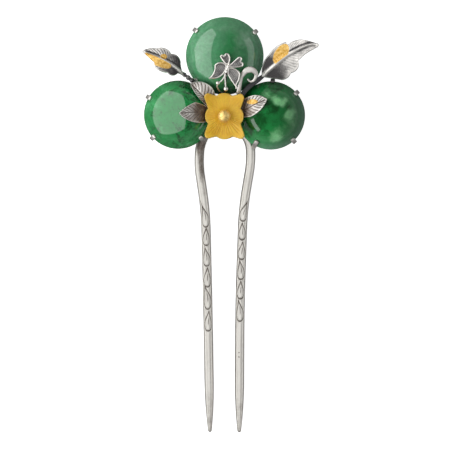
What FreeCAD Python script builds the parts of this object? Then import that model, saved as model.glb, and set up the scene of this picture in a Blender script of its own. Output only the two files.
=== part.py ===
import FreeCAD, Part

import math
import os

import Sketcher

# A two-pronged ornamental hairpin that lies on its back.
# +Z is its front, +Y points towards the head and +X is to the right when its front is seen.
# The origin is on the axis of the blossom's stud, in the flat plane that the back rests on.

os.makedirs("parts", exist_ok=True)
doc = FreeCAD.newDocument("hairpin")
Vector = FreeCAD.Vector
UP = Vector(0, 0, 1)
REACH = 20.0  # more than the height of any piece of the head

# Driving dimensions in millimetres and degrees
SIZES = {
    # round stones: place, radius and height above the seat
    "top_across": 0.1,
    "top_along": 19.4,
    "top_radius": 12.5,
    "top_rise": 9.0,
    "left_across": -14.85,
    "left_along": 0.55,
    "left_radius": 11.0,
    "left_rise": 8.0,
    "right_across": 14.9,
    "right_along": 0.3,
    "right_radius": 11.0,
    "right_rise": 8.0,
    "girdle_height": 1.0,
    "girdle_draft": 0.25,
    # cups under the stones
    "cup_height": 3.2,
    "cup_share": 0.86,
    "cup_wall": 1.1,
    "cup_floor": 0.8,
    "light_hole_share": 0.42,
    "seat_gap": 0.05,
    # claws bent over the stones
    "claw_width": 1.25,
    "claw_thick": 0.6,
    "claw_gap": 0.09,
    "claw_foot": 1.7,
    # hub, boss and struts
    "hub_across": 0.2,
    "hub_along": -2.1,
    "hub_radius": 5.1,
    "hub_height": 2.4,
    "boss_radius": 3.3,
    "boss_height": 6.65,
    "strut_width": 3.0,
    "strut_height": 2.0,
    "rivet_radius": 0.6,
    "rivet_gap": 0.05,
    # rod that is bent into the arch and the two tines
    "rod_radius": 1.5,
    "rod_axis_height": 1.55,
    "taper_length": 16.4,
    "tip_radius": 0.45,
    # raised drops on the tines
    "drop_radius": 1.2,
    "drop_proud": 0.3,
    "drop_dip": 0.05,
    "drop_spacing_left": 6.76,
    "drop_spacing_right": 6.45,
    "drop_start_left": -28.6,
    "drop_start_right": -27.3,
    "drop_share": 0.95,
    "drop_swing": 0.2,
    # stems, long leaves and small leaves
    "stem_height": 6.7,
    "stem_thick": 0.7,
    "stem_width_left": 1.2,
    "stem_width_right": 0.95,
    "knot_radius": 0.75,
    "leaf_thick": 0.6,
    "rib_width": 0.8,
    "rib_height": 0.35,
    "rosette_radius": 3.4,
    "rosette_height": 7.45,
    # curled band
    "band_thick": 0.85,
    "band_height": 8.0,
    "band_slope": 0.35,
    # butterfly
    "wing_thick": 0.5,
    "wing_recess": 0.25,
    "wing_field_share": 0.74,
    "wing_height": 12.8,
    "wing_slope": 0.158,
    "body_radius": 0.42,
    "body_lift": 0.1,
    "wire_radius": 0.24,
    "stalk_radius": 0.35,
    # blossom and its stud
    "blossom_height": 8.1,
    "blossom_thick": 1.3,
    "blossom_dish": 25.0,
    "bead_radius": 2.0,
    "bead_seat_radius": 1.3,
}

# Corners of the bent rod, from the arch down to the point: name, across, along
TINES = {
    "left": [
        ("crown", -5.2, -3.84),
        ("shoulder", -7.9, -9.2),
        ("hip", -8.2, -16.0),
        ("waist", -6.05, -30.5),
        ("knee", -5.35, -60.0),
        ("point", -4.65, -101.2),
    ],
    "right": [
        ("crown", 5.4, -3.84),
        ("shoulder", 8.35, -8.6),
        ("hip", 8.45, -15.0),
        ("waist", 6.0, -29.5),
        ("knee", 4.95, -60.0),
        ("point", 4.75, -101.3),
    ],
}
for tine, corners in TINES.items():
    for corner, across, along in corners:
        SIZES[f"{corner}_{tine}_across"] = across
        SIZES[f"{corner}_{tine}_along"] = along

DROPS_PER_TINE = 6

# Claws: the stone, the angle about its centre, and how far the claw grips in over the edge
CLAWS = [
    ("top", 139, 0.95),
    ("top", 38, 0.95),
    ("top", -40, 0.95),
    ("top", -140, 0.95),
    ("left", 149.6, 0.95),
    ("left", -137.7, 0.95),
    ("left", -45.5, 1.1),
    ("left", 40, 0.95),
    ("right", 87, 0.95),
    ("right", 41.3, 0.95),
    ("right", -48.1, 0.95),
    ("right", -118.6, 1.8),
    ("right", 155, 0.95),
]

sheet = doc.addObject("Spreadsheet::Sheet", "dims")
for line, (alias, value) in enumerate(SIZES.items(), start=1):
    sheet.set(f"A{line}", alias)
    sheet.set(f"B{line}", str(value))
    sheet.setAlias(f"B{line}", alias)
doc.recompute()


def size(alias):
    """The value of one driving dimension, read from the sheet."""
    return float(sheet.get(alias))


# Helpers that make and bind objects


def bound(kind, name, sizes, place=("0", "0", "0")):
    """A primitive whose sizes and place are formulas on the sheet."""
    made = doc.addObject(kind, name)
    for prop, formula in sizes.items():
        made.setExpression(prop, formula)
    for axis, formula in zip("xyz", place):
        made.setExpression(f".Placement.Base.{axis}", formula)
    return made


def feature(name, shape):
    """An object that holds a worked-out shape."""
    made = doc.addObject("Part::Feature", name)
    made.Shape = shape
    return made


def fused(name, objects):
    """All objects joined to one solid."""
    made = doc.addObject("Part::MultiFuse", name)
    made.Shapes = objects
    return made


def cut(name, base, tool):
    """The base without the tool."""
    made = doc.addObject("Part::Cut", name)
    made.Base = base
    made.Tool = tool
    return made


# Helpers that work out shapes


def outline(rows):
    """A closed wire. A row is a corner, and the point that the arc to the next corner passes through."""
    edges = []
    for row, following in zip(rows, rows[1:] + rows[:1]):
        start = Vector(row[0], row[1], 0)
        end = Vector(following[0], following[1], 0)
        if len(row) == 2:
            edges.append(Part.makeLine(start, end))
        else:
            edges.append(Part.Arc(start, Vector(row[2], row[3], 0), end).toShape())
    return Part.Wire(edges)


def shrunk(rows, share):
    """The rows of an outline drawn in towards the mean of its corners."""
    across = sum(row[0] for row in rows) / len(rows)
    along = sum(row[1] for row in rows) / len(rows)
    middle = (across, along) * 2
    return [tuple(m + (v - m) * share for v, m in zip(row, middle)) for row in rows]


def prism(face, low=0.0, high=REACH):
    """A flat face carried straight up from one height to another."""
    lifted = face.copy()
    lifted.translate(UP * low)
    return lifted.extrude(UP * (high - low))


def thick_line(points, width):
    """The face that a round brush of this width covers along straight runs between the points."""
    path = Part.makePolygon([Vector(x, y, 0) for x, y in points])
    return path.makeOffset2D(width / 2, 0, True, False, False)


def slab(start, end, heights, thick):
    """A bent plate. Each row of heights is a share of the way from start to end and the underside there."""
    origin = Vector(start[0], start[1], 0)
    run = Vector(end[0], end[1], 0) - origin
    side = UP.cross(run).normalize() * REACH
    low = [origin + run * share + UP * height - side for share, height in heights]
    high = [point + UP * thick for point in low]
    if len(low) == 2:
        under = Part.makeLine(*low)
        over = Part.makeLine(*high)
    else:
        under = smooth(low)
        over = smooth(high)
    ends = [Part.makeLine(low[0], high[0]), Part.makeLine(low[-1], high[-1])]
    wire = Part.Wire(Part.__sortEdges__([under, over] + ends))
    return Part.Face(wire).extrude(side * 2)


def smooth(points):
    """One smooth edge through the points."""
    curve = Part.BSplineCurve()
    curve.interpolate(points)
    return curve.toShape()


def rounded_path(corners, share=0.45):
    """Straight runs joined by tangent arcs, each arc as large as its two runs allow."""
    edges = []
    last = corners[0]
    for before, corner, after in zip(corners, corners[1:], corners[2:]):
        back = before - corner
        forth = after - corner
        setback = share * min(back.Length, forth.Length)
        back.normalize()
        forth.normalize()
        enter = corner + back * setback
        leave = corner + forth * setback
        half_angle = back.getAngle(forth) / 2
        bisector = (back + forth).normalize()
        reach = setback / math.cos(half_angle)
        middle = corner + bisector * (reach - setback * math.tan(half_angle))
        edges.append(Part.makeLine(last, enter))
        edges.append(Part.Arc(enter, middle, leave).toShape())
        last = leave
    edges.append(Part.makeLine(last, corners[-1]))
    return Part.Wire(edges)


def wire_along(corners, radius):
    """Round wire bent along the corners."""
    corners = [Vector(*corner) for corner in corners]
    path = rounded_path(corners)
    ring = Part.makeCircle(radius, corners[0], corners[1] - corners[0])
    return path.makePipeShell([Part.Wire(ring)], True, False)


def ball(centre, radius):
    """A sphere about a point."""
    return Part.makeSphere(radius, Vector(*centre))


# Stones


def stone_seat(stone):
    """Formulas for the point where the stone stands on its cup."""
    return f"dims.{stone}_across", f"dims.{stone}_along", "dims.cup_height + dims.seat_gap"


def dome_height(stone, radius):
    """The height of the stone's dome above the back plane, at a distance from the stone's axis."""
    edge = size(f"{stone}_radius")
    rise = size(f"{stone}_rise") - size("girdle_height")
    curve = (edge**2 + rise**2) / (2 * rise)
    top = size("cup_height") + size("seat_gap") + size(f"{stone}_rise")
    return top - curve + math.sqrt(curve**2 - radius**2)


def cabochon(stone):
    """A stone with a short girdle, wider at its top, under a round dome: a profile turned about its axis."""
    name = "jade_" + stone
    edge = size(f"{stone}_radius")
    rise = size(f"{stone}_rise")
    girdle = size("girdle_height")
    base = edge - size("girdle_draft")
    curve = (edge**2 + (rise - girdle) ** 2) / (2 * (rise - girdle))
    centre = Vector(0, rise - curve, 0)

    body = doc.addObject("PartDesign::Body", name)
    sketch = body.newObject("Sketcher::SketchObject", name + "_profile")
    planes = [origin for origin in body.Origin.OriginFeatures if origin.Role == "XZ_Plane"]
    sketch.AttachmentSupport = [(planes[0], "")]
    sketch.MapMode = "FlatFace"

    circle = Part.Circle(centre, UP, curve)
    start_angle = math.atan2(girdle - centre.y, edge)
    sketch.addGeometry(Part.LineSegment(Vector(0, 0, 0), Vector(base, 0, 0)))
    sketch.addGeometry(Part.LineSegment(Vector(base, 0, 0), Vector(edge, girdle, 0)))
    sketch.addGeometry(Part.ArcOfCircle(circle, start_angle, math.pi / 2))
    sketch.addGeometry(Part.LineSegment(Vector(0, rise, 0), Vector(0, 0, 0)))
    join_profile(sketch, 4)
    sketch.addConstraint(Sketcher.Constraint("Horizontal", 0))
    sketch.addConstraint(Sketcher.Constraint("PointOnObject", 2, 2, -2))
    sketch.addConstraint(Sketcher.Constraint("PointOnObject", 2, 3, -2))
    drive(sketch, "base_radius", "DistanceX", (0, 2), base, f"dims.{stone}_radius - dims.girdle_draft")
    drive(sketch, "edge_radius", "DistanceX", (1, 2), edge, f"dims.{stone}_radius")
    drive(sketch, "girdle", "DistanceY", (1, 2), girdle, "dims.girdle_height")
    drive(sketch, "rise", "DistanceY", (2, 2), rise, f"dims.{stone}_rise")
    return turned(body, sketch, name, stone_seat(stone))


def join_profile(sketch, count):
    """The lines of a closed profile joined end to end, with the first one starting at the sketch's origin."""
    for index in range(count):
        sketch.addConstraint(Sketcher.Constraint("Coincident", index, 2, (index + 1) % count, 1))
    sketch.addConstraint(Sketcher.Constraint("Coincident", 0, 1, -1, 1))


def drive(sketch, name, kind, point, value, formula):
    """A distance from the sketch's origin to a point, bound to the sheet."""
    index = sketch.addConstraint(Sketcher.Constraint(kind, -1, 1, *point, value))
    sketch.renameConstraint(index, name)
    sketch.setExpression("Constraints." + name, formula)


def turned(body, sketch, name, place):
    """A body turned from its profile about the upright axis."""
    sketch.Visibility = False
    revolved = body.newObject("PartDesign::Revolution", name + "_turned")
    revolved.Profile = sketch
    revolved.ReferenceAxis = (sketch, ["V_Axis"])
    revolved.Angle = 360
    for axis, formula in zip("xyz", place):
        body.setExpression(f".Placement.Base.{axis}", formula)
    return body


# Fork frame


def cup(stone):
    """The cup under a stone, and the two tools that hollow it and open its light hole."""
    place = stone_seat(stone)[:2]
    radius = f"dims.{stone}_radius * dims.cup_share"
    wall = bound(
        "Part::Cylinder",
        f"cup_{stone}",
        {"Radius": radius, "Height": "dims.cup_height"},
        place + ("0",),
    )
    hollow = bound(
        "Part::Cylinder",
        f"cup_{stone}_hollow",
        {"Radius": f"{radius} - dims.cup_wall", "Height": "dims.cup_height"},
        place + ("dims.cup_floor",),
    )
    light_hole = bound(
        "Part::Cylinder",
        f"cup_{stone}_light_hole",
        {"Radius": f"dims.{stone}_radius * dims.light_hole_share", "Height": "dims.cup_height * 2"},
        place + ("-dims.cup_height",),
    )
    return wall, hollow, light_hole


def claw(stone, angle, grip):
    """A flat bar from the cup's wall, up past the stone's edge and bent in over its dome."""
    edge = size(f"{stone}_radius")
    seat = size("cup_height")
    foot = size("claw_foot")
    gap = size("claw_gap")
    thick = size("claw_thick")
    width = size("claw_width")
    inside = edge * size("cup_share") - size("cup_wall") / 2
    girdle_top = seat + size("seat_gap") + size("girdle_height")
    stations = [edge - grip / 2, edge - grip]
    inner = [(edge + gap, girdle_top + gap / 2)]
    inner += [(radius + gap * 0.6, dome_height(stone, radius) + gap) for radius in stations]
    tip = inner[-1]
    before = inner[-2]
    lean = math.hypot(tip[0] - before[0], tip[1] - before[1])
    out = ((tip[1] - before[1]) / lean * thick, (before[0] - tip[0]) / lean * thick)
    outer = [
        (tip[0] + out[0], tip[1] + out[1]),
        (before[0] + out[0], before[1] + out[1]),
        (edge + gap + thick, girdle_top),
        (edge + gap + thick, foot),
    ]
    profile = [(inside, foot), (inside, seat), (edge + gap, seat)] + inner + outer
    points = [Vector(radius, -width / 2, height) for radius, height in profile]
    face = Part.Face(Part.makePolygon(points + points[:1]))
    bar = face.extrude(Vector(0, width, 0))
    made = feature(f"claw_{stone}_{len(doc.Objects)}", bar)
    turn = FreeCAD.Rotation(UP, angle)
    centre = Vector(size(f"{stone}_across"), size(f"{stone}_along"), 0)
    made.Placement = FreeCAD.Placement(centre, turn)
    return made


def strut(stone):
    """A bar on the back from the hub's middle to the wall of a cup."""
    centre = Vector(size(f"{stone}_across"), size(f"{stone}_along"), 0)
    distance = f"sqrt(dims.{stone}_across ^ 2 + dims.{stone}_along ^ 2)"
    inside = f"dims.{stone}_radius * dims.cup_share - dims.cup_wall / 2"
    sizes = {
        "Length": f"{distance} - ({inside})",
        "Width": "dims.strut_width",
        "Height": "dims.strut_height",
    }
    bar = bound("Part::Box", f"strut_{stone}", sizes)
    turn = FreeCAD.Rotation(Vector(1, 0, 0), centre)
    corner = turn.multVec(Vector(0, -size("strut_width") / 2, 0))
    bar.Placement = FreeCAD.Placement(corner, turn)
    return bar


def rod_corner(tine, corner):
    """A corner of the bent rod, on the rod's axis."""
    across = size(f"{corner}_{tine}_across")
    along = size(f"{corner}_{tine}_along")
    return Vector(across, along, size("rod_axis_height"))


def taper_start(tine):
    """The point on the rod's axis where the tine starts to narrow."""
    point = rod_corner(tine, "point")
    back = (rod_corner(tine, "knee") - point).normalize()
    return point + back * (size("taper_length") + size("tip_radius"))


def bent_rod():
    """One rod bent to the arch and both tines, as far as their tapers."""
    names = [corner for corner, _, _ in TINES["left"][:-1]]
    left = [rod_corner("left", name) for name in reversed(names)]
    right = [rod_corner("right", name) for name in names]
    corners = [taper_start("left")] + left + right + [taper_start("right")]
    return feature("rod", wire_along(corners, size("rod_radius")))


def taper(tine):
    """The end of a tine: one long arc down to a small round tip, turned about the tine's axis."""
    length = size("taper_length")
    wide = size("rod_radius")
    narrow = size("tip_radius")
    curve = (length**2 + (wide - narrow) ** 2) / (2 * (wide - narrow))
    half = length / 2
    bulge = wide - curve + math.sqrt(curve**2 - half**2)
    corner = narrow * math.sqrt(0.5)
    edges = [
        Part.makeLine(Vector(0, 0, 0), Vector(0, 0, wide)),
        Part.Arc(Vector(0, 0, wide), Vector(half, 0, bulge), Vector(length, 0, narrow)).toShape(),
        Part.Arc(
            Vector(length, 0, narrow), Vector(length + corner, 0, corner), Vector(length + narrow, 0, 0)
        ).toShape(),
        Part.makeLine(Vector(length + narrow, 0, 0), Vector(0, 0, 0)),
    ]
    solid = Part.Face(Part.Wire(edges)).revolve(Vector(0, 0, 0), Vector(1, 0, 0), 360)
    start = taper_start(tine)
    made = feature(f"taper_{tine}", solid)
    turn = FreeCAD.Rotation(Vector(1, 0, 0), rod_corner(tine, "point") - start)
    made.Placement = FreeCAD.Placement(start, turn)
    return made


def on_tine(tine, along):
    """The point on the tine's axis at this place along the hairpin."""
    corners = [rod_corner(tine, name) for name, _, _ in TINES[tine]]
    for above, below in zip(corners, corners[1:]):
        if above.y >= along >= below.y:
            return above + (below - above) * ((above.y - along) / (above.y - below.y))
    raise ValueError(f"{along} is not on the {tine} tine")


def drop(tine, index):
    """A raised drop: a ball with a cone drawn back from it to a point that dips into the rod."""
    radius = size("drop_radius")
    spacing = size(f"drop_spacing_{tine}")
    start = size(f"drop_start_{tine}") - index * spacing
    swing = size("drop_swing") * (-1) ** index
    front = size("rod_radius")
    tip = on_tine(tine, start) + Vector(swing, 0, front - size("drop_dip"))
    middle = on_tine(tine, start - spacing * size("drop_share") + radius)
    middle += Vector(-swing / 2, 0, front + size("drop_proud") - radius)
    length = (middle - tip).Length
    touch = math.acos(radius / length)
    join = Vector(-radius * math.cos(touch), 0, radius * math.sin(touch))
    edges = [
        Part.makeLine(Vector(-length, 0, 0), join),
        Part.Arc(join, Vector(0, 0, radius), Vector(radius, 0, 0)).toShape(),
        Part.makeLine(Vector(radius, 0, 0), Vector(-length, 0, 0)),
    ]
    solid = Part.Face(Part.Wire(edges)).revolve(Vector(0, 0, 0), Vector(1, 0, 0), 360)
    made = feature(f"drop_{tine}_{index + 1}", solid)
    turn = FreeCAD.Rotation(Vector(1, 0, 0), middle - tip)
    made.Placement = FreeCAD.Placement(middle, turn)
    return made


def fork_frame():
    """Everything that is soldered together: rod, hub, struts, cups, claws and the drops on the tines."""
    walls = []
    tools = []
    for stone in ("top", "left", "right"):
        wall, hollow, light_hole = cup(stone)
        walls.append(wall)
        tools += [hollow, light_hole]
    hub = bound(
        "Part::Cylinder",
        "hub",
        {"Radius": "dims.hub_radius", "Height": "dims.hub_height"},
        ("dims.hub_across", "dims.hub_along", "0"),
    )
    boss = bound(
        "Part::Cylinder", "boss", {"Radius": "dims.boss_radius", "Height": "dims.boss_height"}
    )
    bore = bound(
        "Part::Cylinder",
        "rivet_bore",
        {"Radius": "dims.rivet_radius + dims.rivet_gap", "Height": "dims.boss_height"},
        ("0", "0", "dims.cup_floor"),
    )
    struts = [strut(stone) for stone in ("top", "left", "right")]
    claws = [claw(*row) for row in CLAWS]
    tapers = [taper(tine) for tine in TINES]
    drops = [drop(tine, index) for tine in TINES for index in range(DROPS_PER_TINE)]
    metal = fused(
        "fork_metal", [bent_rod()] + tapers + drops + walls + [hub, boss] + struts + claws
    )
    openings = fused("fork_openings", tools + [bore])
    return cut("fork_frame", metal, openings)


# Leaves


def leaf(rows, start, end, heights, midrib):
    """A bent plate with the leaf's outline, and a rib that stands proud along its middle."""
    plate = prism(Part.Face(outline(rows))).common(slab(start, end, heights, size("leaf_thick")))
    rib_slab = slab(start, end, heights, size("leaf_thick") + size("rib_height"))
    rib = prism(thick_line(midrib, size("rib_width"))).common(rib_slab)
    return plate.fuse(rib)


def stem(points, width):
    """A flat bar that lies between the boss and the plate of the small leaves."""
    low = size("stem_height")
    return prism(thick_line(points, width), low, low + size("stem_thick"))


RIGHT_LEAF = [
    (12.0, 13.1, 12.6, 17.4),
    (14.3, 19.8, 16.6, 22.3),
    (19.7, 23.8),
    (20.2, 22.9, 21.9, 24.0),
    (24.4, 24.6, 27.2, 24.0),
    (30.2, 22.9, 27.3, 21.4),
    (25.3, 19.4),
    (23.7, 17.8, 23.8, 16.0),
    (21.3, 13.8, 20.6, 12.6),
    (18.4, 11.6, 15.3, 11.9),
]
RIGHT_MIDRIB = [(12.0, 12.7), (14.6, 15.1), (19.4, 19.0), (24.2, 21.8), (28.3, 23.1)]
RIGHT_STEM = [(1.75, 0.55), (5.1, 4.6), (7.8, 9.0), (12.0, 12.7), (13.4, 14.0)]
RIGHT_HEIGHTS = [(-0.1, 6.6), (0.0, 6.8), (0.3, 7.9), (0.6, 8.3), (1.0, 7.3), (1.1, 6.9)]

LEFT_LEAF = [
    (-26.4, 20.9, -24.0, 21.8),
    (-21.7, 21.7, -19.3, 21.9),
    (-17.0, 20.0, -15.2, 19.5),
    (-14.0, 16.7, -13.4, 16.0),
    (-13.6, 14.5),
    (-12.7, 12.3, -13.9, 13.3),
    (-15.0, 13.7, -16.9, 13.0),
    (-18.2, 13.9, -20.6, 14.4),
    (-22.3, 15.7),
    (-22.5, 17.2, -24.5, 19.0),
]
LEFT_MIDRIB = [(-25.8, 20.7), (-21.9, 19.2), (-18.4, 17.5), (-15.6, 15.7), (-13.4, 13.9)]
LEFT_STEM = [(-1.6, 1.3), (-4.7, 4.7), (-7.8, 9.3), (-10.3, 11.4), (-14.4, 14.6)]
LEFT_HEIGHTS = [(-0.1, 6.6), (0.0, 6.8), (0.3, 7.7), (0.6, 8.0), (1.0, 7.0), (1.1, 6.7)]
LEFT_KNOTS = [(-10.4, 11.5), (-11.6, 12.4), (-12.8, 13.3)]


def leaf_spray_right():
    """The long right leaf on its straight stem."""
    blade = leaf(RIGHT_LEAF, (12.0, 12.7), (30.2, 22.9), RIGHT_HEIGHTS, RIGHT_MIDRIB)
    return feature("leaf_spray_right", blade.fuse(stem(RIGHT_STEM, size("stem_width_right"))))


def leaf_spray_left():
    """The long left leaf on its knotted stem."""
    blade = leaf(LEFT_LEAF, (-13.2, 13.6), (-26.4, 20.9), LEFT_HEIGHTS, LEFT_MIDRIB)
    middle = size("stem_height") + size("stem_thick") / 2
    knots = [ball((x, y, middle), size("knot_radius")) for x, y in LEFT_KNOTS]
    stalk = stem(LEFT_STEM, size("stem_width_left"))
    return feature("leaf_spray_left", blade.fuse([stalk] + knots))


SMALL_LEAVES = [
    {
        "rows": [
            (-10.9, 10.5, -7.3, 11.1),
            (-3.9, 9.3, -2.9, 6.8),
            (-2.4, 2.6),
            (-3.4, 1.8, -8.4, 6.0),
        ],
        "start": (-2.6, 2.4),
        "end": (-10.9, 10.5),
        "heights": [(-0.1, 7.5), (0.1, 7.55), (0.4, 8.2), (0.7, 8.6), (1.1, 8.5)],
        "midrib": [(-6.7, 6.8), (-8.6, 8.7), (-10.3, 10.1)],
    },
    {
        "rows": [
            (-14.5, 0.9, -12.3, 2.9),
            (-9.3, 4.5, -6.4, 3.6),
            (-3.0, 1.4),
            (-3.0, -0.6, -8.6, -2.1),
        ],
        "start": (-3.4, 0.8),
        "end": (-14.5, 0.8),
        "heights": [(-0.1, 7.5), (0.05, 7.51), (0.2, 7.75), (0.43, 9.6), (0.68, 10.95), (1.05, 11.7)],
        "midrib": [(-6.7, 1.5), (-9.7, 1.2), (-13.7, 0.95)],
    },
    {
        "rows": [
            (13.7, 5.4, 10.2, 6.8),
            (7.2, 6.1, 4.7, 4.5),
            (2.9, 2.0),
            (3.0, 0.5, 5.8, -0.3),
            (8.4, -0.2, 11.5, 1.9),
        ],
        "start": (3.3, 0.0),
        "end": (13.7, 0.0),
        "heights": [(-0.1, 7.5), (0.05, 7.51), (0.25, 7.9), (0.49, 9.75), (0.7, 10.75), (1.05, 11.15)],
        "midrib": [(6.8, 2.2), (10.0, 4.0), (13.0, 5.1)],
    },
]


def leaf_rosette():
    """Three small leaves on a round plate that the rivet passes through."""
    low = size("rosette_height")
    thick = size("leaf_thick")
    plate = Part.makeCylinder(size("rosette_radius"), thick, Vector(0, 0, low))
    leaves = [leaf(**row) for row in SMALL_LEAVES]
    hole = Part.makeCylinder(size("rivet_radius") + size("rivet_gap"), REACH)
    return feature("leaf_rosette", plate.fuse(leaves).cut(hole))


# Curled band

BAND = [
    (4.0, 7.4, 4.9, 11.0),
    (5.5, 13.6, 6.9, 15.5),
    (9.6, 15.5, 11.0, 13.3),
    (9.5, 10.9, 8.2, 10.8),
    (7.0, 11.9),
    (7.5, 12.2, 8.5, 11.5),
    (9.3, 12.1, 9.5, 13.3),
    (8.1, 14.0, 6.9, 13.6),
    (6.2, 12.5, 5.5, 10.4),
    (5.3, 7.4),
]
BAND_TAIL = [(4.65, 8.6, 8.6), (4.1, 6.4, 7.6), (2.9, 4.6, 7.08), (1.0, 2.0, 7.05)]


def band_plane(along):
    """The underside of the curled band at this place along the hairpin."""
    return size("band_height") + size("band_slope") * (along - BAND[0][1])


def tendril():
    """A flat band that ends in a curl, tilted along the top stone, with its tail seated on the boss."""
    low_end, high_end = 2.4, 17.4
    heights = [(0.0, band_plane(low_end)), (1.0, band_plane(high_end))]
    plane = slab((0.0, low_end), (0.0, high_end), heights, size("band_thick"))
    curl = prism(Part.Face(outline(BAND))).common(plane)
    tail = wire_along(BAND_TAIL, size("stem_thick") / 2)
    return feature("tendril", curl.fuse(tail))


# Butterfly

WINGS = [
    [
        (0.6, 16.4, -0.7, 17.8),
        (-1.4, 18.9, -0.9, 19.6),
        (0.0, 19.1, 0.7, 20.1),
        (1.5, 19.7, 1.9, 18.3),
        (1.4, 16.6),
    ],
    [
        (1.4, 16.1, 3.1, 17.7),
        (4.4, 18.8, 5.5, 18.7),
        (4.8, 17.4, 6.1, 16.7),
        (5.8, 15.8, 4.0, 15.5),
        (1.3, 15.6),
    ],
    [
        (0.9, 16.2, -1.7, 17.2),
        (-3.2, 16.2, -3.5, 14.0),
        (-5.1, 12.1, -3.4, 11.9),
        (-1.8, 12.3, 0.0, 13.7),
    ],
    [
        (1.1, 15.5, 3.6, 15.1),
        (5.1, 13.7, 4.9, 12.0),
        (3.9, 9.9),
        (4.1, 8.7, 2.5, 10.8),
        (0.9, 13.4),
    ],
]
BODY = [(1.4, 16.6), (0.1, 12.6)]
BODY_BEADS = [(1.3, 15.8, 0.45), (0.7, 14.2, 0.6), (0.2, 12.9, 0.4)]
FEELERS = [
    [(0.2, 13.0), (-0.9, 11.3), (-2.1, 10.6)],
    [(0.15, 12.9), (0.3, 10.8), (0.48, 8.75)],
]
FEELER_BALLS = [(-2.1, 10.6, 0.64), (0.48, 8.75, 0.74)]
STALK = [(-0.3, 1.6, 7.05), (-0.2, 6.9, 7.05), (0.2, 9.7, 9.25), (0.6, 14.2, 12.0)]
SIDE_WIRE = [(-2.1, 10.4, 11.2), (-2.3, 9.4, 10.5), (-1.5, 8.0, 9.0), (-0.25, 7.2, 7.4)]


def wing_plane(along):
    """The underside of the wings at this place along the hairpin."""
    return size("wing_height") - size("wing_slope") * (size("top_along") - along)


def wing_slab(low, thick):
    """A tilted plate that lies this far above the wings' underside."""
    low_end, high_end = 5.0, 25.0
    heights = [(0.0, wing_plane(low_end) + low), (1.0, wing_plane(high_end) + low)]
    return slab((0.0, low_end), (0.0, high_end), heights, thick)


def butterfly():
    """Four wing cells with raised rims, a body of beads, two feelers, and the stalk down to the boss."""
    thick = size("wing_thick")
    recess = size("wing_recess")
    cells = []
    for rows in WINGS:
        field = Part.Face(outline(shrunk(rows, size("wing_field_share"))))
        cell = prism(Part.Face(outline(rows))).common(wing_slab(0, thick))
        cells.append(cell.cut(prism(field).common(wing_slab(thick - recess, thick))))
    middle = thick / 2 + size("body_lift")
    spine = [Vector(x, y, wing_plane(y) + middle) for x, y in BODY]
    run = spine[1] - spine[0]
    body = Part.makeCylinder(size("body_radius"), run.Length, spine[0], run)
    beads = [ball((x, y, wing_plane(y) + middle), radius) for x, y, radius in BODY_BEADS]
    feelers = [
        wire_along([(x, y, wing_plane(y) + middle) for x, y in points], size("wire_radius"))
        for points in FEELERS
    ]
    balls = [ball((x, y, wing_plane(y) + middle), radius) for x, y, radius in FEELER_BALLS]
    wires = [wire_along(STALK, size("stalk_radius")), wire_along(SIDE_WIRE, size("wire_radius"))]
    return feature("butterfly", body.fuse(cells + beads + feelers + balls + wires))


# Blossom and stud

# One quarter of the blossom's edge, from its top round to its right, about the blossom's middle
BLOSSOM_QUARTER = [
    ("top lobe", 0.0, 7.45),
    ("top notch", 2.45, 6.6),
    ("corner start", 5.1, 7.3),
    ("corner end", 6.3, 5.9),
    ("side notch", 5.25, 2.4),
    ("side lobe", 6.2, 0.0),
]


def blossom_outline():
    """The blossom's edge: a broad lobe at each corner, and a small one in the middle of each side."""
    top, top_notch, corner_start, corner_end, side_notch, side = [
        (across, along) for _, across, along in BLOSSOM_QUARTER
    ]
    right = [
        top_notch + (3.7, 6.85),
        corner_start + (6.15, 7.0),
        corner_end + (5.8, 4.2),
        side_notch + side,
    ]
    lower = [
        (side_notch[0], -side_notch[1], 5.8, -4.2),
        (corner_end[0], -corner_end[1], 6.15, -7.0),
        (corner_start[0], -corner_start[1], 3.7, -6.85),
        (top_notch[0], -top_notch[1], 0.0, -top[1]),
    ]
    half = right + lower
    return outline(half + [tuple(-value for value in row) for row in half])


def blossom():
    """A dished plate with the blossom's edge and a hole for the rivet."""
    low = size("blossom_height")
    thick = size("blossom_thick")
    dish = size("blossom_dish")
    inside = Part.makeSphere(dish, Vector(0, 0, low + dish + thick))
    under = Part.makeSphere(dish, Vector(0, 0, low + dish))
    plate = prism(Part.Face(blossom_outline()))
    hole = Part.makeCylinder(size("rivet_radius") + size("rivet_gap"), REACH)
    return feature("blossom", plate.common(under).cut(inside).cut(hole))


def blossom_stud():
    """The bead in the blossom's middle with the rivet behind it: one profile turned about its axis."""
    radius = size("bead_radius")
    seat = size("bead_seat_radius")
    shank = size("rivet_radius")
    foot = size("cup_floor") + size("rivet_gap")
    bead_low = size("blossom_height") + size("blossom_thick") + 2 * size("seat_gap")
    centre = bead_low + math.sqrt(radius**2 - seat**2)
    edges = [
        Part.makeLine(Vector(0, 0, foot), Vector(shank, 0, foot)),
        Part.makeLine(Vector(shank, 0, foot), Vector(shank, 0, bead_low)),
        Part.makeLine(Vector(shank, 0, bead_low), Vector(seat, 0, bead_low)),
        Part.Arc(
            Vector(seat, 0, bead_low), Vector(radius, 0, centre), Vector(0, 0, centre + radius)
        ).toShape(),
        Part.makeLine(Vector(0, 0, centre + radius), Vector(0, 0, foot)),
    ]
    solid = Part.Face(Part.Wire(edges)).revolve(Vector(0, 0, 0), UP, 360)
    return feature("blossom_stud", solid)


nodes = [
    fork_frame(),
    cabochon("top"),
    cabochon("left"),
    cabochon("right"),
    leaf_spray_left(),
    leaf_spray_right(),
    leaf_rosette(),
    tendril(),
    butterfly(),
    blossom(),
    blossom_stud(),
]
doc.recompute()

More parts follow.
